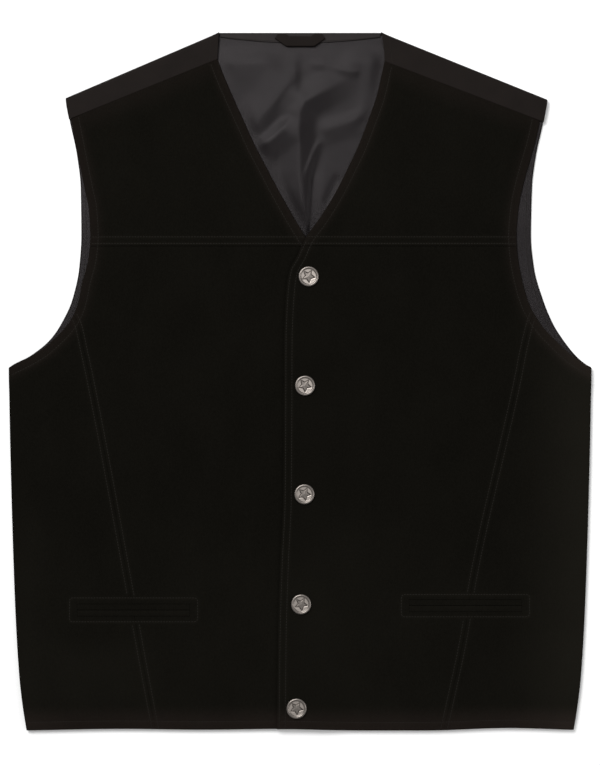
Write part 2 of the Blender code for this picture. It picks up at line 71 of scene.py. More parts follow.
SIDE = table(
    "height out",
    (0, 263.0), (24, 266.8), (48, 269.6), (96, 272.8), (144, 274.9), (216, 277.2), (289, 279.0),
    (349, 280.0),
)
BACK_ARMHOLE = table(
    "height right left",
    (349, 280.0, 280.0), (352, 275.6, 275.0), (360, 259.8, 265.6), (376, 240.3, 252.8),
    (391, 229.9, 243.4), (414, 219.3, 233.8), (445, 212.6, 225.1), (476, 210.6, 222.2),
    (522, 211.2, 223.2), (553, 214.7, 227.0), (584, 221.2, 233.8), (605, 225.1, 237.6),
    (608, 225.3, 237.9),
)
FRONT_ARMHOLE = table(
    "height right left",
    (349, 280.0, 280.0), (356, 265.5, 267.2), (366, 248.5, 254.8), (376, 236.8, 244.5),
    (385, 227.8, 235.8), (395, 220.3, 228.3), (410, 213.8, 220.2), (430, 209.5, 214.1),
    (455, 203.4, 209.4), (475, 201.7, 208.0), (500, 203.0, 209.8), (522, 207.4, 214.0),
    (545, 212.0, 220.2), (566, 216.1, 226.2), (588, 220.4, 231.0),
)
# The inner edge of each front: the closing edge up to the point of the V, then the neckline
INNER_EDGE = table(
    "height right left",
    (0, -16.0, -22.2), (90, -18.8, -21.3), (163, -21.2, -19.1), (223, -22.8, -16.4),
    (300, -24.0, -15.9), (375, -23.6, -15.6), (407, -23.3, -14.4), (427, -22.8, -12.9),
    (442, -20.2, -10.4), (456, -15.2, -2.9), (466, -10.3, 1.5), (475, -4.8, 6.4), (494, 6.7, 20.0),
    (517, 19.6, 34.0), (540, 31.8, 45.6), (562, 43.3, 56.0), (586, 54.2, 65.2), (609, 64.6, 73.3),
    (632, 74.4, 78.7), (645, 79.4, 81.5),
)
PRINCESS_SEAM = table(
    "height right left",
    (0, 139.0, 138.0), (97, 156.8, 158.4), (140, 164.5, 165.0), (341, 202.2, 209.6),
    (363, 207.0, 213.8), (391, 213.5, 220.6), (403, 219.8, 225.0), (420, 230.0, 233.0),
)
# Which way each side lies, and the heights of its shoulder's tip and of its shoulder seam's two ends
SIGN = {"right": -1, "left": 1}
TIP_HEIGHT = {"right": 608.0, "left": 606.5}
SEAM_TIP = {"right": 588.0, "left": 586.0}
SEAM_NECK = {"right": 645.0, "left": 643.0}
HEM_WAVE = table(
    "across rise",
    (-263, 0.0), (-170, 1.6), (-95, 0.8), (-10, 1.6), (60, 0.0), (120, 0.0), (200, 2.4), (263, 0.6),
)
HEM_WAVE_REACH = 60.0

FRONT_GUIDE = 0.35
BACK_HEM = 2.0
ARMHOLE_BEND = 376.0
ARMHOLE_STRAIGHT = 475.0
BEND_FROM, BEND_TO = UNDERARM - 4, UNDERARM + 14

# How far the front drops at its edges, and over what width
ARMHOLE_DROP, ARMHOLE_REACH = 2.0, 25.0
HEM_DROP, HEM_REACH = 1.8, 20.0
NECK_DROP, NECK_REACH = 1.2, 25.0
NECK_DROP_FROM, NECK_DROP_FULL = 485.0, 525.0
SIDE_DROP, SIDE_REACH = 0.6, 45.0
SHOULDER_REACH = 35.0
DROP_POWER = 3.0

# The fold down each side and over each shoulder
FOLD_REACH = 6.0
FOLD_FRONT_DROP = 3.0
FOLD_BACK_RISE = 2.5
FOLD_LIP = 0.8
FOLD_WHOLE = 318.0
SHOULDER_DEPTH = 4.0
NECK_CORNER = 14.0
STRIP_BLEND = 40.0
SHOULDER_HALF_HEIGHT = 3.2
SHOULDER_TOP = 2 * SHOULDER_HALF_HEIGHT

# The left front lies on the right one and slopes down past its edge
LAP_GAP = 0.7
LAP_LIFT = FRONT_WALL + LAP_GAP
LAP_RAMP = 35.0

# Lining: how far its edge lies inside the back's
LINING_AT_SIDE = 9.0
LINING_AT_ARMHOLE = 1.2
LINING_AT_SHOULDER = 9.0
LINING_AT_NECK = 3.0
LINING_AT_HEM = 18.0
LINING_OPENS = 20.0
LINING_NECK_SHARE = 0.37
FOLD_FREE_OF_EDGE = 15.0
LINING_FOLDS_FROM, LINING_FOLDS_RAMP = 440.0, 60.0
LINING_FALLS_FROM, LINING_FALL = 661.0, 22.0

# Neck band and hanger loop
BAND_WALL = 1.0
BAND_DEPTH_MIDDLE, BAND_DEPTH_END = 8.5, 3.0
BAND_HALF = 77.0
BAND_SETBACK = 1.5
BAND_ROUND = 0.5
LOOP_WALL = 1.6
LOOP_WIDTH = 9.8
LOOP_PAD, LOOP_PAD_REACH, LOOP_ROUND = 0.2, 3.0, 0.7
LOOP_LINE = table("across height", (-21.5, 669.0), (-12.0, 662.4), (12.0, 662.4), (21.5, 669.0))

# Pockets: a window through the front, filled by two lips that meet at a slit
POCKET_WIDTH, POCKET_HEIGHT = 108.0, 12.0
POCKET_BLEND = 60.0
POCKETS = {"right": {"out": 160.0, "height": 116.0}, "left": {"out": 158.7, "height": 120.3}}
LIP_SINK, LIP_WALL, LIP_ROLL = 0.4, 1.2, 0.5
LIP_FULLNESS = 0.6
# How much lighter the lips are painted, as painted light on their sunk faces, and how much painted shadow
# darkens the upper lip towards the window's top edge
LIP_PAINTED_LIGHT, LIP_PAINTED_SHADOW = 0.12, 0.2
FINE_SLIT = 0.25

# Snap caps: how far each lies from the closing edge, and how far its star is turned
SNAPS = table(
    "height inset turn",
    (436.2, 19.8, -83),
    (331.6, 20.5, -88),
    (227.5, 20.5, -77),
    (122.0, 21.5, -82),
    (22.2, 18.6, -83),
)
STAR_TIP, STAR_NOTCH = 6.1, 3.1
STAR_RISE, STAR_SLOPE, STAR_SIDE = 0.42, 0.05, 0.5
DISH_RADIUS, DISH_RISE, DISH_DEPTH = 6.9, 1.38, 0.07
OUTLINE_DEPTH, OUTLINE_OUT, OUTLINE_HALF = 0.22, 0.2, 0.3
RIM_CREST = 7
# Where a snap is dark: round its star, on the star, in the groove inside its rim and on the rim
DARK_OUT, DARK_HALF = 0.15, 0.4
STAR_DARK, STAR_DARK_FROM = 0.5, 0.3
HOLLOW_DARK, HOLLOW_AT, HOLLOW_HALF = 0.7, 7.2, 0.35
RIM_DARK, RIM_DARK_FADE = 0.55, 0.5

# How far from an edge the columns or rows of a fine grid lie, closest at a rounding or a row of stitches
SEAM_STEPS = (0, 0.15, 0.4, 0.8, 1.3, 2.0, 2.7, 3.2, 3.7, 4.5, 5.6, 7.0, 7.7, 8.4, 10.0, 12.5)
CLOSING_STEPS = (0, 0.15, 0.4, 0.9, 1.5, 2.1, 2.7, 3.6, 5.0, 6.6, 7.3, 7.9, 8.5, 9.6, 11.5, 14.0)
HEM_STEPS = (0, 0.15, 0.4, 0.9, 1.6, 3.0, 5.0, 6.8, 7.5, 8.1, 8.7, 9.6, 11.5, 14.0)
YOKE_STEPS = (0, 0.15, 0.4, 0.9, 1.7, 2.4, 3.1, 4.5, 6.5, 7.9, 8.7, 9.5, 11.0, 14.0)
UNDER_YOKE_STEPS = (0, 0.2, 0.5, 1.0, 1.8, 2.8, 4.0, 6.0)
WINDOW_STEPS = (0, 0.15, 0.4, 0.9, 2.0, 3.8, 4.8, 5.5, 6.2, 7.0, 7.7, 8.6, 11.0)
PLAIN_STEPS = (0, 1.0, 3.0)
TIGHT_STEPS = (0, 0.5)
LIP_END_STEPS = (0, 0.2, 0.5, 1.2)
LIP_EDGE_STEPS = (0, 0.15, 0.4)
BAND_END_STEPS = (0, 0.3, 1.0)
LINING_SHARE_STEPS = (0, 0.01)
# The steps at one end take at most this share of a width
END_SHARE = 0.45
FOLD_STEPS = (0, 0, 0.1, 0.3, 0.7, 1.2, 1.9, 2.7, 3.6, 4.7, 6.0, 7.5, 9.5, 12.0)
FREE_STEPS = (0, 0.1, 0.25, 0.45, 0.7, 1.0, 1.8, 3.0, 5.0, 6.9, 7.7, 8.5, 10.0, 12.0)

# Sewing
STITCH_PITCH = 2.7
STITCH_LENGTH, STITCH_WIDTH, STITCH_HEIGHT = 2.1, 0.62, 0.42
STITCH_LIFT, STITCH_LIFT_INSIDE = 0.1, 0.05
STITCH_SIDES = 6
# Along a stitch, in half lengths: how thick it is there and how far it dips into the cloth
STITCH_FORM = table(
    "along size dip",
    (-1.0, 0.3, -0.16), (-0.8, 0.8, -0.06), (0.0, 1.0, 0.0), (0.8, 0.8, -0.06), (1.0, 0.3, -0.16),
)
GROOVE_DEPTH, GROOVE_HALF = 0.35, 0.75
ROW_LIGHT, ROW_LIGHT_HALF = 0.32, 1.5
PRINCESS_ROW = 3.2
CLOSING_ROWS = (2.1, 7.9)
YOKE_ROW_HEIGHTS = (468.0, 474.3)
EDGE_ROW = 7.7
HEM_ROW = 8.1
# How far short of a seam, an edge or a side a row of stitches ends
SEAM_CLEAR, EDGE_CLEAR, SIDE_CLEAR, HEM_ROW_CLEAR = 1.0, 1.5, 2.0, 3.0
CLOSING_ROWS_END, NECK_ROW_START = V_POINT - 4, V_POINT - 14
LINING_ROW = 5.0
LINING_ROW_FROM, LINING_ROW_SHORT = UNDERARM + 6, 22.0
POCKET_FRAMES = {"right": (98.4, 221.4, 104.8, 127.7), "left": (97.2, 220.2, 109.6, 131.0)}
SEAM_ROUND, WINDOW_ROUND, FREE_ROUND = 0.3, 0.15, 0.9
EDGE_ROUNDS = {"princess": SEAM_ROUND, "armhole": FREE_ROUND, "inner": FREE_ROUND, "shoulder": SEAM_ROUND}
FRAME_CORNER = 3.0
FINE_GAP = 0.1
FINE_TIP = 0.5
YOKE_LAP, YOKE_LAP_REACH = 0.4, 12.0
UNDER_LAP, UNDER_LAP_REACH = 0.3, 4.0

# Soft troughs and ridges of the fronts, each along a line between two places
FRONT_CREASES = table(
    "across1 height1 across2 height2 half_width rise",
    (-196, 330, -120, 300, 9, 0.6),
    (-170, 392, -96, 372, 8, -0.5),
    (-60, 300, -36, 226, 9, 0.5),
    (-92, 206, -52, 150, 11, -0.5),
    (-235, 66, -176, 42, 10, 0.7),
    (-120, 62, -60, 34, 12, 0.5),
    (-252, 250, -228, 170, 10, 0.6),
    (-150, 560, -104, 520, 10, 0.5),
    (190, 350, 128, 312, 9, -0.5),
    (150, 256, 96, 220, 10, 0.6),
    (54, 196, 44, 84, 12, 0.6),
    (226, 300, 246, 180, 11, 0.7),
    (240, 96, 206, 34, 11, 0.6),
    (110, 66, 70, 36, 12, -0.4),
    (168, 552, 120, 524, 10, 0.5),
    (60, 430, 120, 440, 9, -0.4),
)
# The same for the outside of the back, which lies on the table, so only troughs
BACK_CREASES = table(
    "across1 height1 across2 height2 half_width rise",
    (-210, 330, -90, 286, 9, -0.8),
    (-176, 296, -104, 262, 7, -0.5),
    (205, 322, 110, 268, 10, -0.8),
    (-60, 560, 40, 585, 8, -0.6),
    (70, 180, 20, 90, 11, -0.7),
    (-150, 150, -196, 70, 10, -0.7),
    (150, 470, 186, 540, 8, -0.6),
    (-40, 400, -20, 250, 12, -0.6),
    (120, 120, 206, 60, 10, -0.6),
)
# The lining's folds, each along a line of places: how far it falls away to the left and right of that line,
# how high it rises there and how soft its crest is
LINING_LIFT = 0.9
LINING_UNDER_EDGE = 1.2
LINING_FOLDS = (
    (
        ((8, 462), (3, 505), (-0.5, 536), (-1, 572), (-1, 594), (4, 604), (14, 610), (32, 619), (58, 634)),
        18,
        17,
        3.8,
        0.8,
    ),
    (((-62, 558), (-36, 592), (-19, 612), (2, 644)), 22, 13, 2.2, 2.5),
    (((-52, 551), (-38, 560), (-24, 571), (-4, 590)), 9, 18, 3.2, 0.8),
    (((21, 574), (12, 551), (3, 528)), 6, 2.5, 0.9, 0.5),
    (((19, 566), (12, 534), (10, 510), (9.2, 478), (8.8, 450)), 9, 3, -1.9, 0.5),
    (((12, 573), (40, 583), (76, 593)), 9, 14, 1.4, 1.5),
    (((-88, 652), (-54, 645), (-14, 648)), 14, 30, 1.7, 8.0),
    (((38, 654), (64, 647), (88, 634)), 12, 24, 1.7, 6.0),
    (((2, 656), (3, 606)), 14, 5, -0.5, 2.0),
    (((4, 643), (46, 637)), 4, 7, 0.6, 0.8),
    (((32, 637), (60, 632)), 3, 6, 0.8, 0.6),
    (((74, 640), (66, 604), (58, 578)), 12, 10, 0.8, 2.0),
    (((40, 538), (30, 518), (24, 500)), 6, 5, -0.8, 1.5),
)
FOLD_TAPER = 0.3
CREASE_TAPER = 0.4
CREASE_FREE_OF_EDGE = 20.0
FOLD_FOOT = 0.15

# How brown a front is painted along its edges as painted sheen, where they are turned and round away, and how
# far in that fades
EDGE_SHEEN = {"inner": (0.65, 16.0), "armhole": (0.65, 18.0), "shoulder": (0.4, 24.0)}
HEM_SHEEN, HEM_SHEEN_FROM, HEM_SHEEN_REACH = 0.85, 26.0, 20.0
# The closing edge stays black: the neckline's painted sheen turns it brown from here up
NECK_SHEEN_FROM, NECK_SHEEN_RAMP = V_POINT - 30, 40.0
# Where the fronts are painted lighter, as soft patches: painted sheen and light where the sides round away,
# and broad painted light low down
PAINTED_LIGHT_PATCHES = table(
    "across height half_across half_height gain",
    (276, 210, 42, 230, 1.0),
    (262, 30, 60, 60, 0.35),
    (0, 60, 240, 120, 0.2),
    (60, 560, 240, 70, 0.08),
    (-266, 80, 26, 120, 0.35),
    (-196, 52, 66, 34, 0.3),
    (30, 110, 46, 90, 0.12),
)


def curve(rows, column, key="height"):
    """A smooth curve through one column of a table, as a function of its key, that never overshoots a row."""
    at = np.array([row[key] for row in rows], float)
    value = np.array([row[column] for row in rows], float)
    step = np.diff(at)
    slope = np.diff(value) / step
    tangent = np.concatenate([slope[:1], np.zeros(len(at) - 2), slope[-1:]])
    for i in range(1, len(at) - 1):
        if slope[i - 1] * slope[i] > 0:
            tangent[i] = 2 / (1 / slope[i - 1] + 1 / slope[i])

    def read(where):
        i = np.clip(np.searchsorted(at, where) - 1, 0, len(step) - 1)
        t = np.clip((where - at[i]) / step[i], 0, 1)
        start = (1 + 2 * t) * (1 - t) ** 2 * value[i] + t * (1 - t) ** 2 * step[i] * tangent[i]
        end = t * t * (3 - 2 * t) * value[i + 1] + t * t * (t - 1) * step[i] * tangent[i + 1]
        return start + end

    return read


SIDES = ("right", "left")
side_edge = curve(SIDE, "out")
back_armhole = {side: curve(BACK_ARMHOLE, side) for side in SIDES}
front_armhole = {side: curve(FRONT_ARMHOLE, side) for side in SIDES}
inner_edge = {side: curve(INNER_EDGE, side) for side in SIDES}
princess_seam = {side: curve(PRINCESS_SEAM, side) for side in SIDES}
hem_wave = curve(HEM_WAVE, "rise", key="across")


def ease(t):
    """0 below 0, 1 above 1 and a smooth step between."""
    t = np.clip(t, 0.0, 1.0)
    return t * t * (3 - 2 * t)


def mix(a, b, t):
    return a + (b - a) * t


def bell(distance, half):
    """1 on a line, falling off smoothly to either side of it."""
    return np.exp(-((distance / half) ** 2))


# Outlines


def front_outer(side, height):
    return np.where(height <= UNDERARM, side_edge(height), front_armhole[side](height))


def back_outer(side, height):
    return np.where(height <= UNDERARM, side_edge(height), back_armhole[side](height))


def tip_out(side):
    return back_armhole[side](TIP_HEIGHT[side])


def shoulder_fold(side, out):
    share = np.maximum(0.0, (out - NECK_HALF) / (tip_out(side) - NECK_HALF))
    return mix(LENGTH, TIP_HEIGHT[side], share)


def fold_depth(out):
    """How far the shoulder's fold reaches over at this distance from the middle."""
    return SHOULDER_DEPTH * ease((out - NECK_HALF) / NECK_CORNER)


def shoulder_seam(side, out):
    tip, neck = SEAM_TIP[side], SEAM_NECK[side]
    inner, outer = inner_edge[side](neck), front_armhole[side](tip)
    return mix(neck, tip, (out - inner) / (outer - inner))


def panel_seam(side, height):
    return np.minimum(princess_seam[side](height), front_armhole[side](np.maximum(height, UNDERARM)))


def side_front_tip(side):
    tip = UNDERARM
    while front_armhole[side](tip) - princess_seam[side](tip) > FINE_TIP:
        tip += 0.1
    return tip


# Heights above the table


def folded(height):
    """How far the side is folded shut at this height: 1 along the side, 0 from the underarm up."""
    return 1 - ease((height - FOLD_WHOLE) / (UNDERARM - FOLD_WHOLE))


def round_off(distance):
    """1 at a fold's outermost line, 0 where its quarter round ends."""
    t = np.clip(distance / FOLD_REACH, 0.0, 1.0)
    return 1 - np.sqrt(1 - (1 - t) ** 2)


def front_drop(side, out, height):
    fold = folded(height)
    edge = front_outer(side, height) - out
    neck = ease((height - NECK_DROP_FROM) / (NECK_DROP_FULL - NECK_DROP_FROM))
    drops = (
        fold * FOLD_FRONT_DROP * round_off(edge),
        fold * SIDE_DROP * (1 - ease(edge / SIDE_REACH)),
        (1 - fold) * ARMHOLE_DROP * (1 - ease(edge / ARMHOLE_REACH)),
        HEM_DROP * (1 - ease(height / HEM_REACH)),
        neck * NECK_DROP * (1 - ease((out - inner_edge[side](height)) / NECK_REACH)),
        (FRONT_TOP - SHOULDER_TOP) * (1 - ease((shoulder_seam(side, out) - height) / SHOULDER_REACH)),
    )
    return sum(drop**DROP_POWER for drop in drops) ** (1 / DROP_POWER)


def front_top(side, out, height):
    top = FRONT_TOP - front_drop(side, out, height)
    if side == "left":
        past_lap = out + inner_edge["right"](height)
        top = top + LAP_LIFT * ease(1 - past_lap / LAP_RAMP)
    return top


def front_point(side, out, height, z):
    """Points on a front. The hem wavers, and less so further up."""
    across = SIGN[side] * out
    waver = hem_wave(across) * np.maximum(0.0, 1 - height / HEM_WAVE_REACH)
    return np.stack([across, height + waver, z], -1)


# Lines on the cloth and what lies beside them


def away(paths, out, height):
    """How far each place lies from the nearest of these lines of points."""
    here = np.stack([np.ravel(out), np.ravel(height)], 1)
    nearest = np.full(len(here), 1e9)
    for path in paths:
        for start, end in zip(path[:-1], path[1:]):
            run = end - start
            t = np.clip((here - start) @ run / max(run @ run, 1e-9), 0, 1)
            gap = here - start - t[:, None] * run
            nearest = np.minimum(nearest, np.einsum("ij,ij->i", gap, gap))
    return np.sqrt(nearest).reshape(np.shape(out))


def beside_path(path, across, height):
    """How far each place lies from a line of points, below zero to its left and above zero to its right,
    and at what share of the line's length."""
    here = np.stack([np.ravel(across), np.ravel(height)], 1)
    lengths = np.linalg.norm(np.diff(path, axis=0), axis=1)
    best, share = np.full(len(here), 1e9), np.zeros(len(here))
    for i, (start, length) in enumerate(zip(path, lengths)):
        run = path[i + 1] - start
        t = np.clip((here - start) @ run / length**2, 0, 1)
        far = np.linalg.norm(here - start - t[:, None] * run, axis=1)
        turn = np.where((here - start) @ np.array((run[1], -run[0])) < 0, -1, 1)
        nearer = far < np.abs(best)
        best[nearer] = (far * turn)[nearer]
        share[nearer] = ((lengths[:i].sum() + t * length) / lengths.sum())[nearer]
    return best.reshape(np.shape(across)), share.reshape(np.shape(across))


def line(read, low, high, step=3.0):
    """The line that an edge or seam follows between two heights, as (out, height) points."""
    heights = np.linspace(low, high, max(2, int((high - low) / step) + 1))
    return np.stack([read(heights), heights], 1)


def run_lengths(path):
    """How far along a line each of its points lies."""
    return np.concatenate([[0], np.cumsum(np.linalg.norm(np.diff(path, axis=0), axis=1))])


def beside(path, distance):
    """A line at this distance to the right of another, going along it."""
    run = np.gradient(path, axis=0)
    run = run / np.linalg.norm(run, axis=1)[:, None]
    return path + distance * np.stack([run[:, 1], -run[:, 0]], 1)


def within(path, keep):
    """A line's points from the first to the last for which keep is true."""
    good = np.flatnonzero(keep(path[:, 0], path[:, 1]))
    return path[good[0] : good[-1] + 1]


def rounded_frame(left, right, low, high, radius):
    """The line round a frame whose corners are rounded, back to where it starts."""
    turn = np.linspace(0, math.pi / 2, 5)
    corners = ((right, high), (left, high), (left, low), (right, low))
    points = []
    for i, (x, y) in enumerate(corners):
        x += radius if x == left else -radius
        y += radius if y == low else -radius
        angle = turn + i * math.pi / 2
        points.append(np.stack([x + radius * np.cos(angle), y + radius * np.sin(angle)], 1))
    points.append(points[0][:1])
    return np.concatenate(points)


def rounded(distance, radius):
    """How far a rounded edge lies below the face at this distance from it."""
    t = np.clip(distance / radius, 0, 1)
    return radius * (1 - np.sqrt(1 - (1 - t) ** 2))


def creases(rows, across, height):
    total = np.zeros(np.shape(across))
    for row in rows:
        path = np.array(((row["across1"], row["height1"]), (row["across2"], row["height2"])), float)
        off, share = beside_path(path, across, height)
        fade = ease(share / CREASE_TAPER) * ease((1 - share) / CREASE_TAPER)
        total += row["rise"] * fade * bell(off, row["half_width"])
    return total


def edge_lines(side):
    """The lines along which a front ends or is sewn to another, by name."""
    tip, neck = SEAM_TIP[side], SEAM_NECK[side]
    return {
        "armhole": line(front_armhole[side], UNDERARM, tip, 1.5),
        "inner": line(inner_edge[side], 0, neck, 2.0),
        "princess": line(princess_seam[side], 0, side_front_tip(side), 3.0),
        "shoulder": np.array(((front_armhole[side](tip), tip), (inner_edge[side](neck), neck)), float),
    }


def stitch_lines(side):
    """Every row of stitches on one front, as (out, height) points."""
    left, right, low, high = POCKET_FRAMES[side]

    def above_pocket(out, height):
        inside = out < front_outer(side, height) - EDGE_CLEAR
        return (height > high + SEAM_CLEAR) & inside

    def below_shoulder(out, height):
        return height < shoulder_seam(side, out) - SEAM_CLEAR

    def along_armhole(out, height):
        inside = out < side_edge(np.minimum(height, UNDERARM)) - SIDE_CLEAR
        return inside & below_shoulder(out, height)

    def level(height, start, end, count):
        return np.stack([np.linspace(start, end, count), np.full(count, height)], 1)

    rows = []
    for distance in (PRINCESS_ROW, -PRINCESS_ROW):
        row = beside(EDGES[side]["princess"], distance)
        rows.append(within(row, lambda out, height: height < low - SEAM_CLEAR))
        rows.append(within(row, above_pocket))
    for distance in CLOSING_ROWS if side == "left" else ():
        row = beside(line(inner_edge[side], 0, CLOSING_ROWS_END, 2.0), distance)
        rows.append(within(row, lambda out, height: height > SEAM_CLEAR))
    neck = beside(line(inner_edge[side], NECK_ROW_START, SEAM_NECK[side], 2.0), EDGE_ROW)
    rows.append(within(neck, below_shoulder))
    rows.append(within(beside(EDGES[side]["armhole"], -EDGE_ROW), along_armhole))
    for height in YOKE_ROW_HEIGHTS:
        start = front_armhole[side](height) - EDGE_CLEAR
        rows.append(level(height, start, inner_edge[side](height) + EDGE_CLEAR, 60))
    end = SIGN[side] * inner_edge["left"](HEM_ROW) + HEM_ROW_CLEAR
    rows.append(level(HEM_ROW, side_edge(HEM_ROW) - HEM_ROW_CLEAR, end, 80))
    rows.append(rounded_frame(left, right, low, high, FRAME_CORNER))
    return rows


EDGES = {side: edge_lines(side) for side in SIDES}
ROWS = {side: stitch_lines(side) for side in SIDES}


def window_distance(side, out, height):
    """How far outside the pocket's window a place lies."""
    pocket = POCKETS[side]
    over = np.maximum(np.abs(out - pocket["out"]) - POCKET_WIDTH / 2, 0)
    up = np.maximum(np.abs(height - pocket["height"]) - POCKET_HEIGHT / 2, 0)
    return np.hypot(over, up)


def relief(side, out, height, from_row):
    """How far the fine forms of a front lift its face: seams, rows of stitches, rounded edges and creases.
    from_row is each place's distance from the nearest row of stitches."""
    above = height - YOKE_SEAM
    rise = creases(FRONT_CREASES, SIGN[side] * out, height)
    rise = rise * ease((front_outer(side, height) - out) / CREASE_FREE_OF_EDGE)
    rise = rise * ease((out - inner_edge[side](height)) / CREASE_FREE_OF_EDGE)
    for name, radius in EDGE_ROUNDS.items():
        rise -= rounded(away([EDGES[side][name]], out, height), radius)
    rise -= rounded(height, FREE_ROUND)
    rise -= rounded(window_distance(side, out, height), WINDOW_ROUND)
    rise -= GROOVE_DEPTH * bell(from_row, GROOVE_HALF)
    rise += np.where(above > 0, YOKE_LAP * ease(1 - above / YOKE_LAP_REACH), 0)
    rise -= np.where(above > 0, rounded(above, SEAM_ROUND), 0)
    rise -= np.where(above <= 0, UNDER_LAP * ease(1 + above / UNDER_LAP_REACH), 0)
    return rise


def edge_sheen(side, out, height):
    """How brown a front is painted, as painted sheen: most along its neckline, armhole and hem, where the
    edge is turned and rounds away.
    """
    tones = {"hem": HEM_SHEEN * ease((HEM_SHEEN_FROM - height) / HEM_SHEEN_REACH)}
    for name, (most, reach) in EDGE_SHEEN.items():
        tones[name] = most * ease(1 - away([EDGES[side][name]], out, height) / reach)
    tones["inner"] *= ease((height - NECK_SHEEN_FROM) / NECK_SHEEN_RAMP)
    return np.maximum.reduce(list(tones.values()))


def painted_light_tone(across, height):
    """How much lighter a front is painted, as painted sheen and light in soft patches."""
    total = np.zeros(np.shape(across))
    for patch in PAINTED_LIGHT_PATCHES:
        over = (across - patch["across"]) / patch["half_across"]
        up = (height - patch["height"]) / patch["half_height"]
        total += patch["gain"] * np.exp(-(over**2) - up**4)
    return total


# Grids


def between(start, end, steps, near=PLAIN_STEPS, far=None):
    """Columns from start to end, one pair a row, at these distances from each end and even between."""
    far = near if far is None else far
    start, end = np.atleast_1d(start).astype(float)[:, None], np.atleast_1d(end).astype(float)[:, None]
    near, far = np.atleast_2d(near).astype(float), np.atleast_2d(far).astype(float)
    width, sign = np.abs(end - start), np.sign(end - start)
    first = start + sign * near * np.minimum(1, END_SHARE * width / near[:, -1:])
    last = end - sign * far[:, ::-1] * np.minimum(1, END_SHARE * width / far[:, -1:])
    share = np.linspace(0, 1, steps + 1)[1:-1]
    middle = mix(first[:, -1:], last[:, :1], share)
    return np.hstack([first, middle, last])


def joined(*parts):
    """Runs of columns one after the other, each starting where the last one ended."""
    return np.hstack([parts[0]] + [part[:, 1:] for part in parts[1:]])


def normals(grid):
    """Unit normals of a grid of points, on the side from which its columns and rows turn anticlockwise."""
    across = np.gradient(grid, axis=1)
    along = np.gradient(grid, axis=0)
    found = np.cross(across, along)
    return found / np.maximum(np.linalg.norm(found, axis=-1, keepdims=True), 1e-12)


def mesh_object(name, points, faces, look, sharp=40.0):
    """An object from points in millimetres, (across, height above the hem, height above the table)."""
    placed = (np.asarray(points, float) - (0, LENGTH / 2, 0)) * MM
    mesh = bpy.data.meshes.new(name)
    mesh.from_pydata(placed.tolist(), [], faces if isinstance(faces, list) else faces.tolist())
    mesh.shade_smooth()
    mesh.set_sharp_from_angle(angle=math.radians(sharp))
    made = bpy.data.objects.new(name, mesh)
    mesh.materials.append(look)
    bpy.context.scene.collection.objects.link(made)
    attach(made, "root")
    return made


def point_values(made, name, values):
    layer = made.data.attributes.new(name, "FLOAT", "POINT")
    layer.data.foreach_set("value", np.asarray(values, np.float32))


def shell(name, base, lift, wall, look, flip=False, keep=None, values=None):
    """A closed wall of cloth: its face is base lifted along its normals, its back one wall below base."""
    count = base.shape[0] * base.shape[1]
    out = normals(base) * (-1 if flip else 1)
    face, under = base + out * lift[..., None], base - out * wall
    number = np.arange(count).reshape(base.shape[:2])
    quads = np.stack([number[:-1, :-1], number[:-1, 1:], number[1:, 1:], number[1:, :-1]], -1)
    quads = quads.reshape(-1, 4) if keep is None else quads[keep]
    if flip:
        quads = quads[:, ::-1]
    edges = np.concatenate([quads[:, [i, (i + 1) % 4]] for i in range(4)])
    rim = edges[~np.isin(edges[:, 0] * count + edges[:, 1], edges[:, 1] * count + edges[:, 0])]
    ring = np.stack([rim[:, 1], rim[:, 0], rim[:, 0] + count, rim[:, 1] + count], 1)
    faces = np.concatenate([quads, quads[:, ::-1] + count, ring])
    points = np.concatenate([face.reshape(-1, 3), under.reshape(-1, 3)])
    used, faces = np.unique(faces, return_inverse=True)
    made = mesh_object(name, points[used], faces.reshape(-1, 4), look)
    for label, field in (values or {}).items():
        point_values(made, label, np.tile(np.ravel(field), 2)[used])
    corners = base.reshape(-1, 3)[quads]
    spans = np.cross(corners[:, 2] - corners[:, 0], corners[:, 3] - corners[:, 1])
    cut = np.linalg.norm(spans, axis=1).sum() / 2
    return made, float(cut) * MM * MM


def stitches(name, paths, look):
    """Stitches of one length, end to end with small gaps, along lines of points in space."""
    turn = np.arange(STITCH_SIDES) * 2 * math.pi / STITCH_SIDES
    points, faces = [], []
    for path in paths:
        lengths = run_lengths(path)
        count = int(lengths[-1] / STITCH_PITCH)
        for i in range(count):
            around = (i + 0.5) * lengths[-1] / count + np.array((-1, 0, 1))
            before, centre, after = np.stack([np.interp(around, lengths, values) for values in path.T], 1)
            run = (after - before) / np.linalg.norm(after - before)
            aside = np.cross((0, 0, 1), run)
            aside = aside / np.linalg.norm(aside)
            up = np.cross(run, aside)
            first = len(points)
            for ring in STITCH_FORM:
                middle = centre + run * ring["along"] * STITCH_LENGTH / 2 + up * ring["dip"]
                for angle in turn:
                    over = aside * math.cos(angle) * STITCH_WIDTH
                    rise = up * math.sin(angle) * STITCH_HEIGHT
                    points.append(middle + (over + rise) * ring["size"] / 2)
            last = len(points) - STITCH_SIDES
            for start in range(first, last, STITCH_SIDES):
                for k in range(STITCH_SIDES):
                    a, b = start + k, start + (k + 1) % STITCH_SIDES
                    faces.append((b, b + STITCH_SIDES, a + STITCH_SIDES, a))
            faces.append(tuple(range(first, first + STITCH_SIDES))[::-1])
            faces.append(tuple(range(last, last + STITCH_SIDES)))
    return mesh_object(name, points, faces, look, sharp=80.0)


# Materials


def add(tree, kind, settings=None, inputs=None, output=0):
    """One output of a new shader node with these settings and inputs, each a value or a node's output."""
    made = tree.nodes.new(kind)
    for key, value in (settings or {}).items():
        setattr(made, key, value)
    for key, value in (inputs or {}).items():
        if isinstance(value, bpy.types.NodeSocket):
            tree.links.new(value, made.inputs[key])
        else:
            made.inputs[key].default_value = value
    return made.outputs[output]


def material(name, inputs):
    made = bpy.data.materials.new(name)
    made.use_nodes = True
    shader = made.node_tree.nodes["Principled BSDF"]
    for key, value in inputs.items():
        shader.inputs[key].default_value = value
    return made, made.node_tree, shader


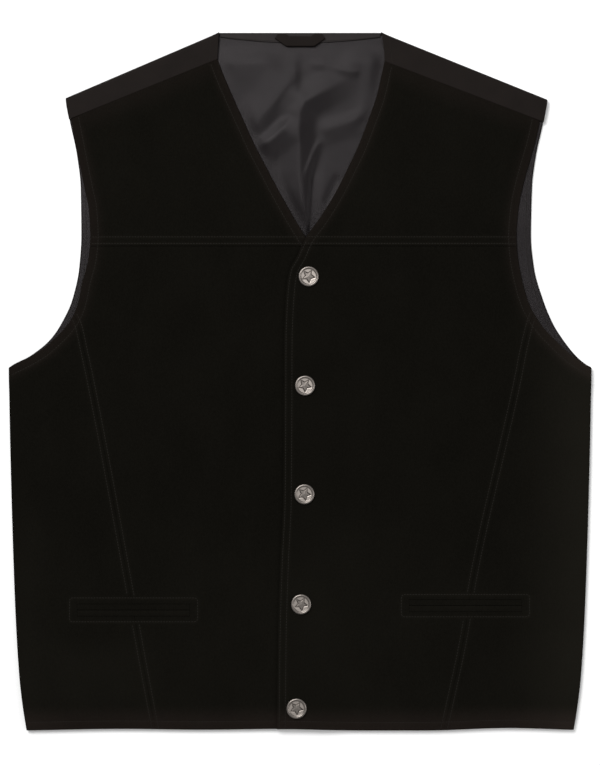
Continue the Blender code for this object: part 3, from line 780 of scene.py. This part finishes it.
def noise(tree, scale, detail=3.0, stretch=(1, 1, 1)):
    """Noise in the object's own space, in waves a metre, stretched along its axes."""
    where = add(tree, "ShaderNodeTexCoord", output="Object")
    where = add(tree, "ShaderNodeMapping", None, {"Vector": where, "Scale": stretch})
    return add(tree, "ShaderNodeTexNoise", None, {"Vector": where, "Scale": scale, "Detail": detail})


def wave(tree, scale, axis):
    where = add(tree, "ShaderNodeTexCoord", output="Object")
    settings = {"wave_type": "BANDS", "bands_direction": axis}
    inputs = {"Vector": where, "Scale": scale, "Distortion": 1.0}
    return add(tree, "ShaderNodeTexWave", settings, inputs, "Fac")


def maths(tree, operation, a, b):
    return add(tree, "ShaderNodeMath", {"operation": operation}, {0: a, 1: b})


def blend(tree, factor, a, b):
    return add(tree, "ShaderNodeMixRGB", None, {"Fac": factor, "Color1": (*a, 1), "Color2": (*b, 1)})


def scaled(tree, colour, factor):
    return add(tree, "ShaderNodeVectorMath", {"operation": "SCALE"}, {0: colour, "Scale": factor})


def attribute(tree, name):
    return add(tree, "ShaderNodeAttribute", {"attribute_name": name}, None, "Fac")


def varied(tree, parts):
    """1 plus each (amount, value) part, where a value of a half changes nothing."""
    total = 1.0
    for amount, value in parts:
        change = maths(tree, "MULTIPLY", maths(tree, "SUBTRACT", value, 0.5), amount)
        total = maths(tree, "ADD", total, change)
    return total


def bumped(tree, shader, height, strength, distance):
    inputs = {"Strength": strength, "Distance": distance * MM, "Height": height}
    tree.links.new(add(tree, "ShaderNodeBump", None, inputs), shader.inputs["Normal"])


def suede_material():
    inputs = {"Roughness": 0.95, "Specular IOR Level": 0.01, "Sheen Weight": 0.004, "Sheen Roughness": 0.5}
    made, tree, shader = material("suede_nap", {**inputs, "Sheen Tint": (0.75, 0.62, 0.52, 1)})
    nap = noise(tree, 900, 3.0, (1, 0.55, 1))
    brushed = noise(tree, 24, 4.0, (1, 0.7, 1))
    # painted sheen: the suede is blended to brown along the fronts' turned edges
    colour = blend(tree, attribute(tree, "edge_sheen"), (0.00385, 0.0035, 0.00265), (0.0088, 0.0067, 0.0056))
    lightness = varied(tree, ((0.7, nap), (0.45, brushed)))
    # painted light and shade added to the lightness: painted sheen in patches, the lips' painted light and
    # shadow, and lighter bands along the rows of stitches
    lightness = maths(tree, "ADD", lightness, attribute(tree, "painted_light_tone"))
    tree.links.new(scaled(tree, colour, lightness), shader.inputs["Base Color"])
    bumped(tree, shader, nap, 0.5, 0.5)
    return made


def woven_material(name, colour, roughness, specular, threads, tint=(1, 1, 1)):
    inputs = {"Roughness": roughness, "Specular IOR Level": specular, "Specular Tint": (*tint, 1)}
    made, tree, shader = material(name, inputs)
    weave = maths(tree, "MULTIPLY", wave(tree, threads, "X"), wave(tree, threads, "Y"))
    mottled = noise(tree, 60, 3.0)
    lightness = varied(tree, ((0.5, weave), (0.4, mottled)))
    plain = add(tree, "ShaderNodeRGB")
    plain.default_value = (*colour, 1)
    tree.links.new(scaled(tree, plain, lightness), shader.inputs["Base Color"])
    bumped(tree, shader, weave, 0.3, 0.15)
    return made


def snap_material():
    made, tree, shader = material("antique_silver", {"Roughness": 0.38, "Metallic": 1.0})
    worn = noise(tree, 700, 3.0)
    colour = blend(tree, attribute(tree, "tarnish"), (0.41, 0.368, 0.333), (0.025, 0.021, 0.019))
    tree.links.new(scaled(tree, colour, varied(tree, ((0.35, worn),))), shader.inputs["Base Color"])
    bumped(tree, shader, worn, 0.15, 0.1)
    return made


SUEDE = suede_material()
BACK_CLOTH = woven_material("brown_cloth", (0.0088, 0.0064, 0.0054), 0.7, 0.07, 900)
BAND_CLOTH = woven_material("band_cloth", (0.0165, 0.0134, 0.0130), 0.6, 0.12, 900)
SATIN = woven_material("satin_lining", (0.0047, 0.0037, 0.0040), 0.33, 0.16, 1400, (1, 0.93, 0.95))
THREAD = woven_material("thread", (0.0155, 0.0138, 0.0118), 0.75, 0.06, 2400)
METAL = snap_material()


# Pieces


def piece(node):
    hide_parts(node)


def flat_size(base):
    """Width and length of a cut laid flat, in metres."""
    return (float(np.ptp(base[..., 0])) * MM, float(np.ptp(base[..., 1])) * MM)


def near_pocket(side, height):
    away_from = np.abs(height - POCKETS[side]["height"]) - POCKET_HEIGHT / 2
    return ease(1 - away_from / POCKET_BLEND)


def front_panel(side, name, outs, heights, lip=0.0, keep=None):
    """One panel of a front over a grid of places; lip is how far its outermost column turns down."""
    top = front_top(side, outs, heights)
    from_row = away(ROWS[side], outs, heights)
    lift = relief(side, outs, heights, from_row)
    top[:, 0] -= lip
    base = front_point(side, outs, heights, top)
    if np.any(lip):
        lift = lift * np.where(np.arange(outs.shape[1]) < 2, 1 - folded(heights), 1)
    across = SIGN[side] * outs
    # painted sheen: how brown the front is painted along its turned edges
    brown = edge_sheen(side, outs, heights)
    row_light = ROW_LIGHT * (1 - brown) * bell(from_row, ROW_LIGHT_HALF)
    # painted sheen and light in soft patches, plus lighter bands along the rows of stitches
    values = {"edge_sheen": brown, "painted_light_tone": painted_light_tone(across, heights) + row_light}
    node = f"{name}_{side}"
    made, cut = shell(f"{node}_suede", base, lift, FRONT_WALL, SUEDE, side == "left", keep, values)
    piece(node)
    return made, flat_size(base), cut


def outside_window(side, outs, heights):
    """For each cell of a grid, whether its middle lies outside the pocket's window."""
    middle_out = (outs[:-1, :-1] + outs[1:, 1:]) / 2
    middle_height = (heights[:-1, :-1] + heights[1:, 1:]) / 2
    return window_distance(side, middle_out, middle_height) > 0


def low_rows(side):
    """The heights of a front's rows from the hem past the pocket's window."""
    low = POCKETS[side]["height"] - POCKET_HEIGHT / 2
    high = low + POCKET_HEIGHT
    return joined(
        between(0, low, 24, HEM_STEPS, WINDOW_STEPS),
        between(low, high, 2),
    )


def seam_rows(side):
    """The heights of the rows that both panels beside a princess seam share."""
    high = POCKETS[side]["height"] + POCKET_HEIGHT / 2
    tip = side_front_tip(side)
    return joined(
        low_rows(side),
        between(high, FOLD_WHOLE, 48, WINDOW_STEPS, PLAIN_STEPS),
        between(FOLD_WHOLE, BEND_FROM, 9),
        between(BEND_FROM, BEND_TO, 18, TIGHT_STEPS),
        between(BEND_TO, tip, 16),
    )[0]


def side_front(side):
    heights = seam_rows(side)
    outer, inner = front_outer(side, heights), princess_seam[side](heights) + FINE_GAP / 2
    fold = folded(heights)
    near = mix(np.array(FREE_STEPS)[None], np.array(FOLD_STEPS)[None], fold[:, None])
    window = POCKETS[side]["out"] + POCKET_WIDTH / 2
    guide = mix(mix(outer, inner, 0.5), window, near_pocket(side, heights))
    outs = joined(
        between(outer, guide, 10, near, WINDOW_STEPS),
        between(guide, inner, 10, PLAIN_STEPS, SEAM_STEPS),
    )
    grid = np.broadcast_to(heights[:, None], outs.shape)
    return front_panel(side, "side_front", outs, grid, FOLD_LIP * fold, outside_window(side, outs, grid))


def centre_front(side):
    low = seam_rows(side)
    upper = between(low[-1], YOKE_SEAM - SEAM_GAP / 2, 16, PLAIN_STEPS, UNDER_YOKE_STEPS)[0]
    heights = np.concatenate([low, upper[1:]])
    outer, inner = panel_seam(side, heights) - FINE_GAP / 2, inner_edge[side](heights)
    window = POCKETS[side]["out"] - POCKET_WIDTH / 2
    guide = mix(mix(outer, inner, FRONT_GUIDE), window, near_pocket(side, heights))
    outs = joined(
        between(outer, guide, 14, SEAM_STEPS, PLAIN_STEPS),
        between(guide, inner, 30, WINDOW_STEPS, CLOSING_STEPS),
    )
    grid = np.broadcast_to(heights[:, None], outs.shape)
    return front_panel(side, "front", outs, grid, 0.0, outside_window(side, outs, grid))


def yoke(side):
    low = YOKE_SEAM + SEAM_GAP / 2
    tip, neck = SEAM_TIP[side] - FINE_GAP, SEAM_NECK[side] - FINE_GAP
    ends = between((low, low), (tip, neck), 36, YOKE_STEPS, SEAM_STEPS)
    outer, inner = front_armhole[side](ends[0]), inner_edge[side](ends[1])
    steps = between(np.zeros(len(outer)), outer - inner, 40, CLOSING_STEPS)
    share = steps / (outer - inner)[:, None]
    outs = mix(outer[:, None], inner[:, None], share)
    heights = mix(ends[0][:, None], ends[1][:, None], share)
    return front_panel(side, "yoke", outs, heights)


def pocket_lips(side):
    """Two rolled strips that fill the pocket's window and meet at its slit."""
    pocket = POCKETS[side]
    half = POCKET_WIDTH / 2 - FINE_GAP
    edge = POCKET_HEIGHT / 2 - FINE_GAP
    outs = between(pocket["out"] + half, pocket["out"] - half, 50, LIP_END_STEPS)[0]
    lips = []
    for name, low, high in (("upper", FINE_SLIT / 2, edge), ("lower", -edge, -FINE_SLIT / 2)):
        heights = between(pocket["height"] + low, pocket["height"] + high, 8, LIP_EDGE_STEPS)[0]
        out_grid, height_grid = np.meshgrid(outs, heights)
        share = (height_grid - heights[0]) / (heights[-1] - heights[0])
        ends = np.minimum(out_grid - outs[-1], outs[0] - out_grid)
        lift = LIP_ROLL * np.sin(math.pi * share) ** LIP_FULLNESS - rounded(ends, WINDOW_ROUND)
        lift -= rounded(np.minimum(height_grid - heights[0], heights[-1] - height_grid), WINDOW_ROUND)
        top = front_top(side, out_grid, height_grid) - LIP_SINK
        base = front_point(side, out_grid, height_grid, top)
        across = SIGN[side] * out_grid
        # painted light on the sunk lips, over the front's painted sheen and light
        lightness = painted_light_tone(across, height_grid) + LIP_PAINTED_LIGHT
        if name == "upper":
            # painted shadow cast by the window's top edge, darker towards the upper lip's top
            lightness -= LIP_PAINTED_SHADOW * share
        values = {"edge_sheen": np.zeros(lift.shape), "painted_light_tone": lightness}
        node = f"pocket_lip_{name}_{side}"
        made, _ = shell(f"{node}_suede", base, lift, LIP_WALL, SUEDE, side == "left", None, values)
        piece(node)
        lips.append(made)
    return lips


def strip_row(side):
    """The neckline's row of stitches where it goes on over the shoulder strip, up to the fold."""
    low_out = inner_edge[side](SEAM_NECK[side]) + EDGE_ROW
    high_out = NECK_HALF + EDGE_ROW
    low = shoulder_seam(side, low_out) + SEAM_CLEAR
    high = shoulder_fold(side, high_out) - fold_depth(high_out)
    share = np.linspace(0, 1, int(2 * (high - low) / STITCH_PITCH))
    across = SIGN[side] * mix(low_out, high_out, share)
    return np.stack([across, mix(low, high, share), np.full(share.shape, SHOULDER_TOP + STITCH_LIFT)], -1)


def front_stitching(side):
    paths = []
    for row in ROWS[side]:
        lengths = run_lengths(row)
        at = np.linspace(0, lengths[-1], max(2, int(2 * lengths[-1] / STITCH_PITCH)))
        out, height = (np.interp(at, lengths, values) for values in row.T)
        z = front_top(side, out, height) + relief(side, out, height, np.zeros(out.shape)) + STITCH_LIFT
        paths.append(front_point(side, out, height, z))
    paths.append(strip_row(side))
    return stitches(f"stitching_{side}", paths, THREAD)


def back_side(side):
    """The outside of one half of the back, from its edge to the middle and over the shoulder to its seam."""
    sign = SIGN[side]
    tip = TIP_HEIGHT[side]
    insets = len(FOLD_STEPS)
    neck_share = float(NECK_HALF / (tip_out(side) - FOLD_STEPS[-1]))
    shares = np.concatenate([np.linspace(1, neck_share, 31)[1:], np.linspace(neck_share, 0, 25)[1:]])
    count, neck = insets + len(shares), insets + 29

    def outs_at(heights):
        outer = back_outer(side, np.minimum(heights, tip))
        edge = mix(np.array(FREE_STEPS), np.array(FOLD_STEPS), folded(heights[:, :insets]))
        inside = shares * (outer[:, insets:] - FOLD_STEPS[-1])
        return np.hstack([outer[:, :insets] - edge, inside])

    low = joined(
        between(BACK_HEM, FOLD_WHOLE, 50, HEM_STEPS, PLAIN_STEPS),
        between(FOLD_WHOLE, BEND_FROM, 9),
        between(BEND_FROM, ARMHOLE_BEND, 28, TIGHT_STEPS),
        between(ARMHOLE_BEND, ARMHOLE_STRAIGHT, 24),
    )[0]
    heights = np.repeat(low[:, None], count, axis=1)
    fold = folded(heights)
    edge = back_outer(side, heights) - outs_at(heights)
    z = fold * FOLD_BACK_RISE * round_off(edge)
    z[:, 0] += FOLD_LIP * fold[:, 0]
    spread = inner_edge[side](SEAM_NECK[side]) - NECK_HALF

    def strip_outs(heights, share):
        outs = outs_at(heights)
        near = ease(1 - (outs - NECK_HALF) / STRIP_BLEND)
        return outs + spread * np.sin(share * np.pi / 2) * near

    at_tip = outs_at(np.full((1, count), tip))[0]
    top, depth = shoulder_fold(side, at_tip), fold_depth(at_tip)
    over = np.arange(count) <= neck
    share = np.linspace(0, 1, 49)[1:, None]
    upper = mix(ARMHOLE_STRAIGHT, top - depth * over, share)
    turns = np.radians(np.linspace(-90, 90, 17)[1:])[:, None]
    roll = top - depth * (1 - np.cos(turns))
    ends = np.full((1, count), SEAM_NECK[side])
    for _ in range(6):
        ends = shoulder_seam(side, strip_outs(ends, 1.0))
    flap_share = np.array((0.2, 0.4, 0.6, 0.8, 0.9, 0.95, 0.98, 1.0))[:, None]
    flap = mix(top - depth, ends, flap_share)
    heights = np.vstack([heights, upper, roll, flap])
    z = np.vstack(
        [
            z,
            np.zeros(upper.shape),
            np.broadcast_to(SHOULDER_HALF_HEIGHT * (1 + np.sin(turns)), roll.shape),
            np.full(flap.shape, SHOULDER_TOP),
        ]
    )
    outs = outs_at(heights)
    outs[-len(flap) :] = strip_outs(flap, flap_share)
    lift = creases(BACK_CREASES, sign * outs, heights)
    lift[len(low) + len(upper) :] = 0
    lift[-len(flap) :] -= rounded(heights[-len(flap) :] - ends, SEAM_ROUND)
    shown = np.ones(heights.shape, bool)
    shown[len(low) + len(upper) :, ~over] = False
    return np.stack([sign * outs, heights, z], -1), lift, shown


def back():
    halves = {side: back_side(side) for side in SIDES}
    right, left = halves["right"], halves["left"]
    base, lift, shown = (np.concatenate([a, b[:, -2::-1]], 1) for a, b in zip(right, left))
    keep = shown[:-1, :-1] & shown[:-1, 1:] & shown[1:, 1:] & shown[1:, :-1]
    made, cut = shell("back_cloth_panel", base, lift, BACK_WALL, BACK_CLOTH, True, keep)
    piece("back")
    return made, flat_size(base), cut


def lining_rise(across, height):
    """How far the lining's folds lift it, held down near the edges of the V."""
    level = np.maximum(height, V_POINT)
    inside = np.minimum(across + inner_edge["right"](level), inner_edge["left"](level) - across)
    rise = np.full(np.shape(across), LINING_LIFT)
    for path, left, right, lift, softness in LINING_FOLDS:
        off, share = beside_path(np.array(path, float), across, height)
        above_foot = 1 - (np.sqrt(off**2 + softness**2) - softness) / np.where(off < 0, left, right)
        slope = (above_foot + np.sqrt(above_foot**2 + FOLD_FOOT**2)) / 2
        rise += lift * slope * ease(share / FOLD_TAPER) * ease((1 - share) / FOLD_TAPER)
    rise = np.maximum(rise, 0)
    held = np.minimum(rise, LINING_UNDER_EDGE)
    rise = mix(held, rise, ease(inside / FOLD_FREE_OF_EDGE))
    rise = rise * ease((height - LINING_FOLDS_FROM) / LINING_FOLDS_RAMP)
    return rise * ease((LINING_FALLS_FROM - height) / LINING_FALL)


def lining_out(side, share, height):
    tip = TIP_HEIGHT[side] - LINING_AT_SHOULDER
    inset = mix(LINING_AT_ARMHOLE, LINING_AT_SIDE, folded(height - LINING_OPENS))
    return share * (back_outer(side, np.minimum(height, tip)) - inset)


def back_lining():
    near_neck = np.linspace(0, LINING_NECK_SHARE, 41)
    further = between(LINING_NECK_SHARE, 1, 34, LINING_SHARE_STEPS)[0]
    shares = np.concatenate([near_neck, further[1:]])
    low = joined(
        between(LINING_AT_HEM, UNDERARM, 30),
        between(UNDERARM, ARMHOLE_BEND, 18, TIGHT_STEPS),
        between(ARMHOLE_BEND, ARMHOLE_STRAIGHT, 24),
    )[0]
    up = np.linspace(0, 1, 91)[1:, None]
    halves = []
    for side in SIDES:
        reach = lining_out(side, shares, LENGTH)
        inset = mix(LINING_AT_NECK, LINING_AT_SHOULDER, ease((reach - NECK_HALF) / NECK_CORNER))
        top = shoulder_fold(side, reach) - inset
        heights = np.vstack([np.repeat(low[:, None], len(shares), 1), mix(low[-1], top, up)])
        across = SIGN[side] * lining_out(side, shares, heights)
        halves.append(np.stack([across, heights, LINING_TOP + lining_rise(across, heights)], -1))
    base = np.concatenate([halves[0][:, ::-1], halves[1][:, 1:]], 1)
    made, cut = shell("back_lining_satin", base, np.zeros(base.shape[:2]), LINING_WALL, SATIN)
    piece("back_lining")
    return made, flat_size(base), cut


def lining_stitching():
    paths = []
    for side in SIDES:
        tip = TIP_HEIGHT[side]
        ends = LINING_ROW_FROM, tip - LINING_ROW_SHORT
        row = beside(line(back_armhole[side], *ends, STITCH_PITCH / 2), -LINING_ROW)
        across = SIGN[side] * row[:, 0]
        z = LINING_TOP + lining_rise(across, row[:, 1]) + STITCH_LIFT_INSIDE
        paths.append(np.stack([across, row[:, 1], z], 1))
    return stitches("stitching_lining", paths, THREAD)


def neck_band():
    face = LINING_TOP + SEAM_GAP + BAND_WALL
    across = between(-BAND_HALF, BAND_HALF, 70, BAND_END_STEPS)
    share = np.array((0, 0.03, 0.08, 0.18, 0.32, 0.5, 0.7, 0.85, 0.93, 0.98, 1.0))[:, None]
    depth = mix(BAND_DEPTH_MIDDLE, BAND_DEPTH_END, (across / BAND_HALF) ** 2)
    heights = LENGTH - BAND_SETBACK - depth * (1 - share)
    spread = np.broadcast_to(across, heights.shape)
    lift = -rounded(depth * np.minimum(share, 1 - share), BAND_ROUND)
    base = np.stack([spread, heights, np.full(heights.shape, face)], -1)
    made, _ = shell("neck_band_cloth", base, lift, BAND_WALL, BAND_CLOTH)
    piece("neck_band")
    row = base[3] + (0, 0, STITCH_LIFT_INSIDE)
    sewn = stitches("stitching_band", [row], THREAD)
    return [made, sewn]


def hanger_loop():
    """A folded strip that lies on the neck band, with mitred corners and soft edges."""
    corners = [np.array((row["across"], row["height"])) for row in LOOP_LINE]
    runs = [(b - a) / np.linalg.norm(b - a) for a, b in zip(corners, corners[1:])]
    across_runs = [np.array((-run[1], run[0])) for run in runs]
    face = LINING_TOP + 2 * SEAM_GAP + BAND_WALL + LOOP_WALL
    mitres = []
    for i in range(len(corners)):
        before, after = across_runs[max(0, i - 1)], across_runs[min(i, len(runs) - 1)]
        mitre = before + after
        mitres.append(mitre / (mitre @ after))
    edges = np.array((-0.5, -0.48, -0.44, -0.38, -0.2, 0.0, 0.2, 0.38, 0.44, 0.48, 0.5))
    columns = []
    for i in range(len(runs)):
        for t in np.linspace(0, 1, 9)[0 if i == 0 else 1 :]:
            centre, mitre = mix(corners[i], corners[i + 1], t), mix(mitres[i], mitres[i + 1], t)
            columns.append(centre + edges[:, None] * LOOP_WIDTH * mitre)
    flat = np.stack(columns, 1)
    heights = np.minimum(flat[..., 1], LENGTH - BAND_SETBACK)
    side = np.repeat((0.5 - np.abs(edges))[:, None] * LOOP_WIDTH, flat.shape[1], 1)
    base = np.stack([flat[..., 0], heights, np.full(heights.shape, face)], -1)
    lift = LOOP_PAD * ease(side / LOOP_PAD_REACH) - rounded(side, LOOP_ROUND)
    made, _ = shell("hanger_loop_cloth", base, lift, LOOP_WALL, BACK_CLOTH)
    piece("hanger_loop")
    return made


# Snaps


def star_depth(x, y):
    """How far inside the star's outline each place lies, below zero outside it."""
    angle = np.arange(11) * math.pi / 5
    radius = np.where(np.arange(11) % 2 == 0, STAR_TIP, STAR_NOTCH)
    corners = np.stack([radius * np.cos(angle), radius * np.sin(angle)], 1)
    far = away([corners], x, y)
    turn = np.arctan2(y, x) % (2 * math.pi / 5)
    turn = np.minimum(turn, 2 * math.pi / 5 - turn)
    reach = np.hypot(x, y)
    a, b = corners[0], corners[1]
    px, py = reach * np.cos(turn), reach * np.sin(turn)
    inside = (b[0] - a[0]) * (py - a[1]) - (b[1] - a[1]) * (px - a[0]) > 0
    return np.where(inside, far, -far)


SNAP_RIM = table(
    "radius rise",
    (0.0, 0.0), (9.2, 0.0), (9.55, 0.2), (9.75, 0.6), (9.75, 1.0), (9.62, 1.45), (9.3, 1.85),
    (8.9, 2.08), (8.45, 2.17), (8.0, 2.1), (7.65, 1.9), (7.35, 1.62), (7.1, 1.45), (6.9, 1.38),
)
SNAP_SEGMENTS = 120


def snap(number, height, inset, turn):
    """A round cap with a rolled rim and, in its shallow dish, a raised star with a sunk outline."""
    inner = np.linspace(DISH_RADIUS, 0, 36)[1:]
    dish = DISH_RISE - DISH_DEPTH * np.sin(math.pi * inner / DISH_RADIUS)
    radius = np.concatenate([[row["radius"] for row in SNAP_RIM], inner])
    rise = np.concatenate([[row["rise"] for row in SNAP_RIM], dish])
    angle = np.arange(SNAP_SEGMENTS) * 2 * math.pi / SNAP_SEGMENTS
    x, y = radius[:, None] * np.cos(angle), radius[:, None] * np.sin(angle)
    z = np.repeat(rise[:, None], SNAP_SEGMENTS, 1)
    depth = star_depth(x, y)
    reach = np.hypot(x, y)
    top = (np.arange(len(radius)) > RIM_CREST)[:, None]
    z += top * (STAR_RISE * ease(depth / STAR_SIDE) + STAR_SLOPE * np.maximum(depth, 0))
    z -= top * OUTLINE_DEPTH * bell(depth + OUTLINE_OUT, OUTLINE_HALF)
    tarnish = top * bell(depth + DARK_OUT, DARK_HALF) + STAR_DARK * top * (depth > STAR_DARK_FROM)
    tarnish += top * HOLLOW_DARK * bell(reach - HOLLOW_AT, HOLLOW_HALF)
    rim = RIM_DARK * ease((reach - DISH_RADIUS) / RIM_DARK_FADE)
    tarnish = np.clip(np.maximum(tarnish, rim), 0, 1)
    out = inner_edge["left"](height) + inset
    base = front_top("left", out, height) + SEAM_GAP
    cos, sin = math.cos(math.radians(turn)), math.sin(math.radians(turn))
    points = np.stack([out + x * cos - y * sin, height + x * sin + y * cos, base + z], -1)[1:-1]
    rings = len(points)
    numbers = np.arange(rings * SNAP_SEGMENTS).reshape(rings, SNAP_SEGMENTS)
    after = np.roll(numbers, -1, axis=1)
    faces = np.stack([numbers[:-1], after[:-1], after[1:], numbers[1:]], -1).reshape(-1, 4).tolist()
    middle = rings * SNAP_SEGMENTS
    faces.append(tuple(reversed(numbers[0].tolist())))
    faces += [(int(a), int(b), middle) for a, b in zip(numbers[-1], after[-1])]
    summit = np.array(((float(out), height, float(base + z[-1, 0])),))
    points = np.concatenate([points.reshape(-1, 3), summit])
    made = mesh_object(f"snap_cap_{number}", points, faces, METAL, sharp=60.0)
    point_values(made, "tarnish", np.concatenate([tarnish[1:-1].ravel(), tarnish[-1, :1]]))
    piece(f"snap_{number}")
    return made


# Stage, in metres
FLOOR_SIZE, FLOOR_DROP = 14, 0.0004
CAMERA_PLACE = (-0.0001, -0.001, 2.047)


def stage():
    bpy.ops.mesh.primitive_plane_add(size=FLOOR_SIZE, location=(0, 0, -FLOOR_DROP))
    floor = bpy.context.object
    floor.name = "floor"
    made, tree, shader = material("pale_floor", {"Roughness": 0.9, "Specular IOR Level": 0.0})
    plain = add(tree, "ShaderNodeRGB")
    plain.default_value = (0.93, 0.93, 0.93, 1)
    tree.links.new(scaled(tree, plain, varied(tree, ((0.01, noise(tree, 6)),))), shader.inputs["Base Color"])
    floor.data.materials.append(made)
    return floor


def light(name, place, size, power):
    """A square lamp that shines towards the middle of the vest."""
    lamp = bpy.data.lights.new(name, "AREA")
    lamp.size = size
    lamp.energy = power
    made = bpy.data.objects.new(name, lamp)
    made.location = place
    x, y, z = place
    made.rotation_euler = (math.atan2(math.hypot(x, y), z), 0, math.atan2(x, -y))
    bpy.context.scene.collection.objects.link(made)


def studio():
    world = bpy.data.worlds.new("studio")
    bpy.context.scene.world = world
    world.use_nodes = True
    sky = world.node_tree.nodes["Background"]
    sky.inputs["Color"].default_value = (1, 1, 1, 1)
    sky.inputs["Strength"].default_value = 0.48
    light("key", (-0.9, 1.3, 2.3), size=1.3, power=72)
    light("fill", (2.0, -0.3, 1.5), size=1.2, power=14)
    lens = bpy.data.cameras.new("camera")
    lens.lens = 100
    lens.sensor_width = 36
    camera = bpy.data.objects.new("camera", lens)
    camera.location = CAMERA_PLACE
    bpy.context.scene.collection.objects.link(camera)
    bpy.context.scene.camera = camera
    bpy.context.scene.view_settings.view_transform = "Standard"


def main():
    floor = stage()
    studio()
    back_piece, back_flat, back_cut = back()
    lining_piece, lining_flat, lining_cut = back_lining()
    extras = [lining_stitching(), hanger_loop(), *neck_band()]
    snaps = [snap(number, **row) for number, row in enumerate(SNAPS, 1)]
    for side in SIDES:
        lips = pocket_lips(side)
        sewn = front_stitching(side)
        for build in (side_front, centre_front, yoke):
            made, flat, cut = build(side)


main()
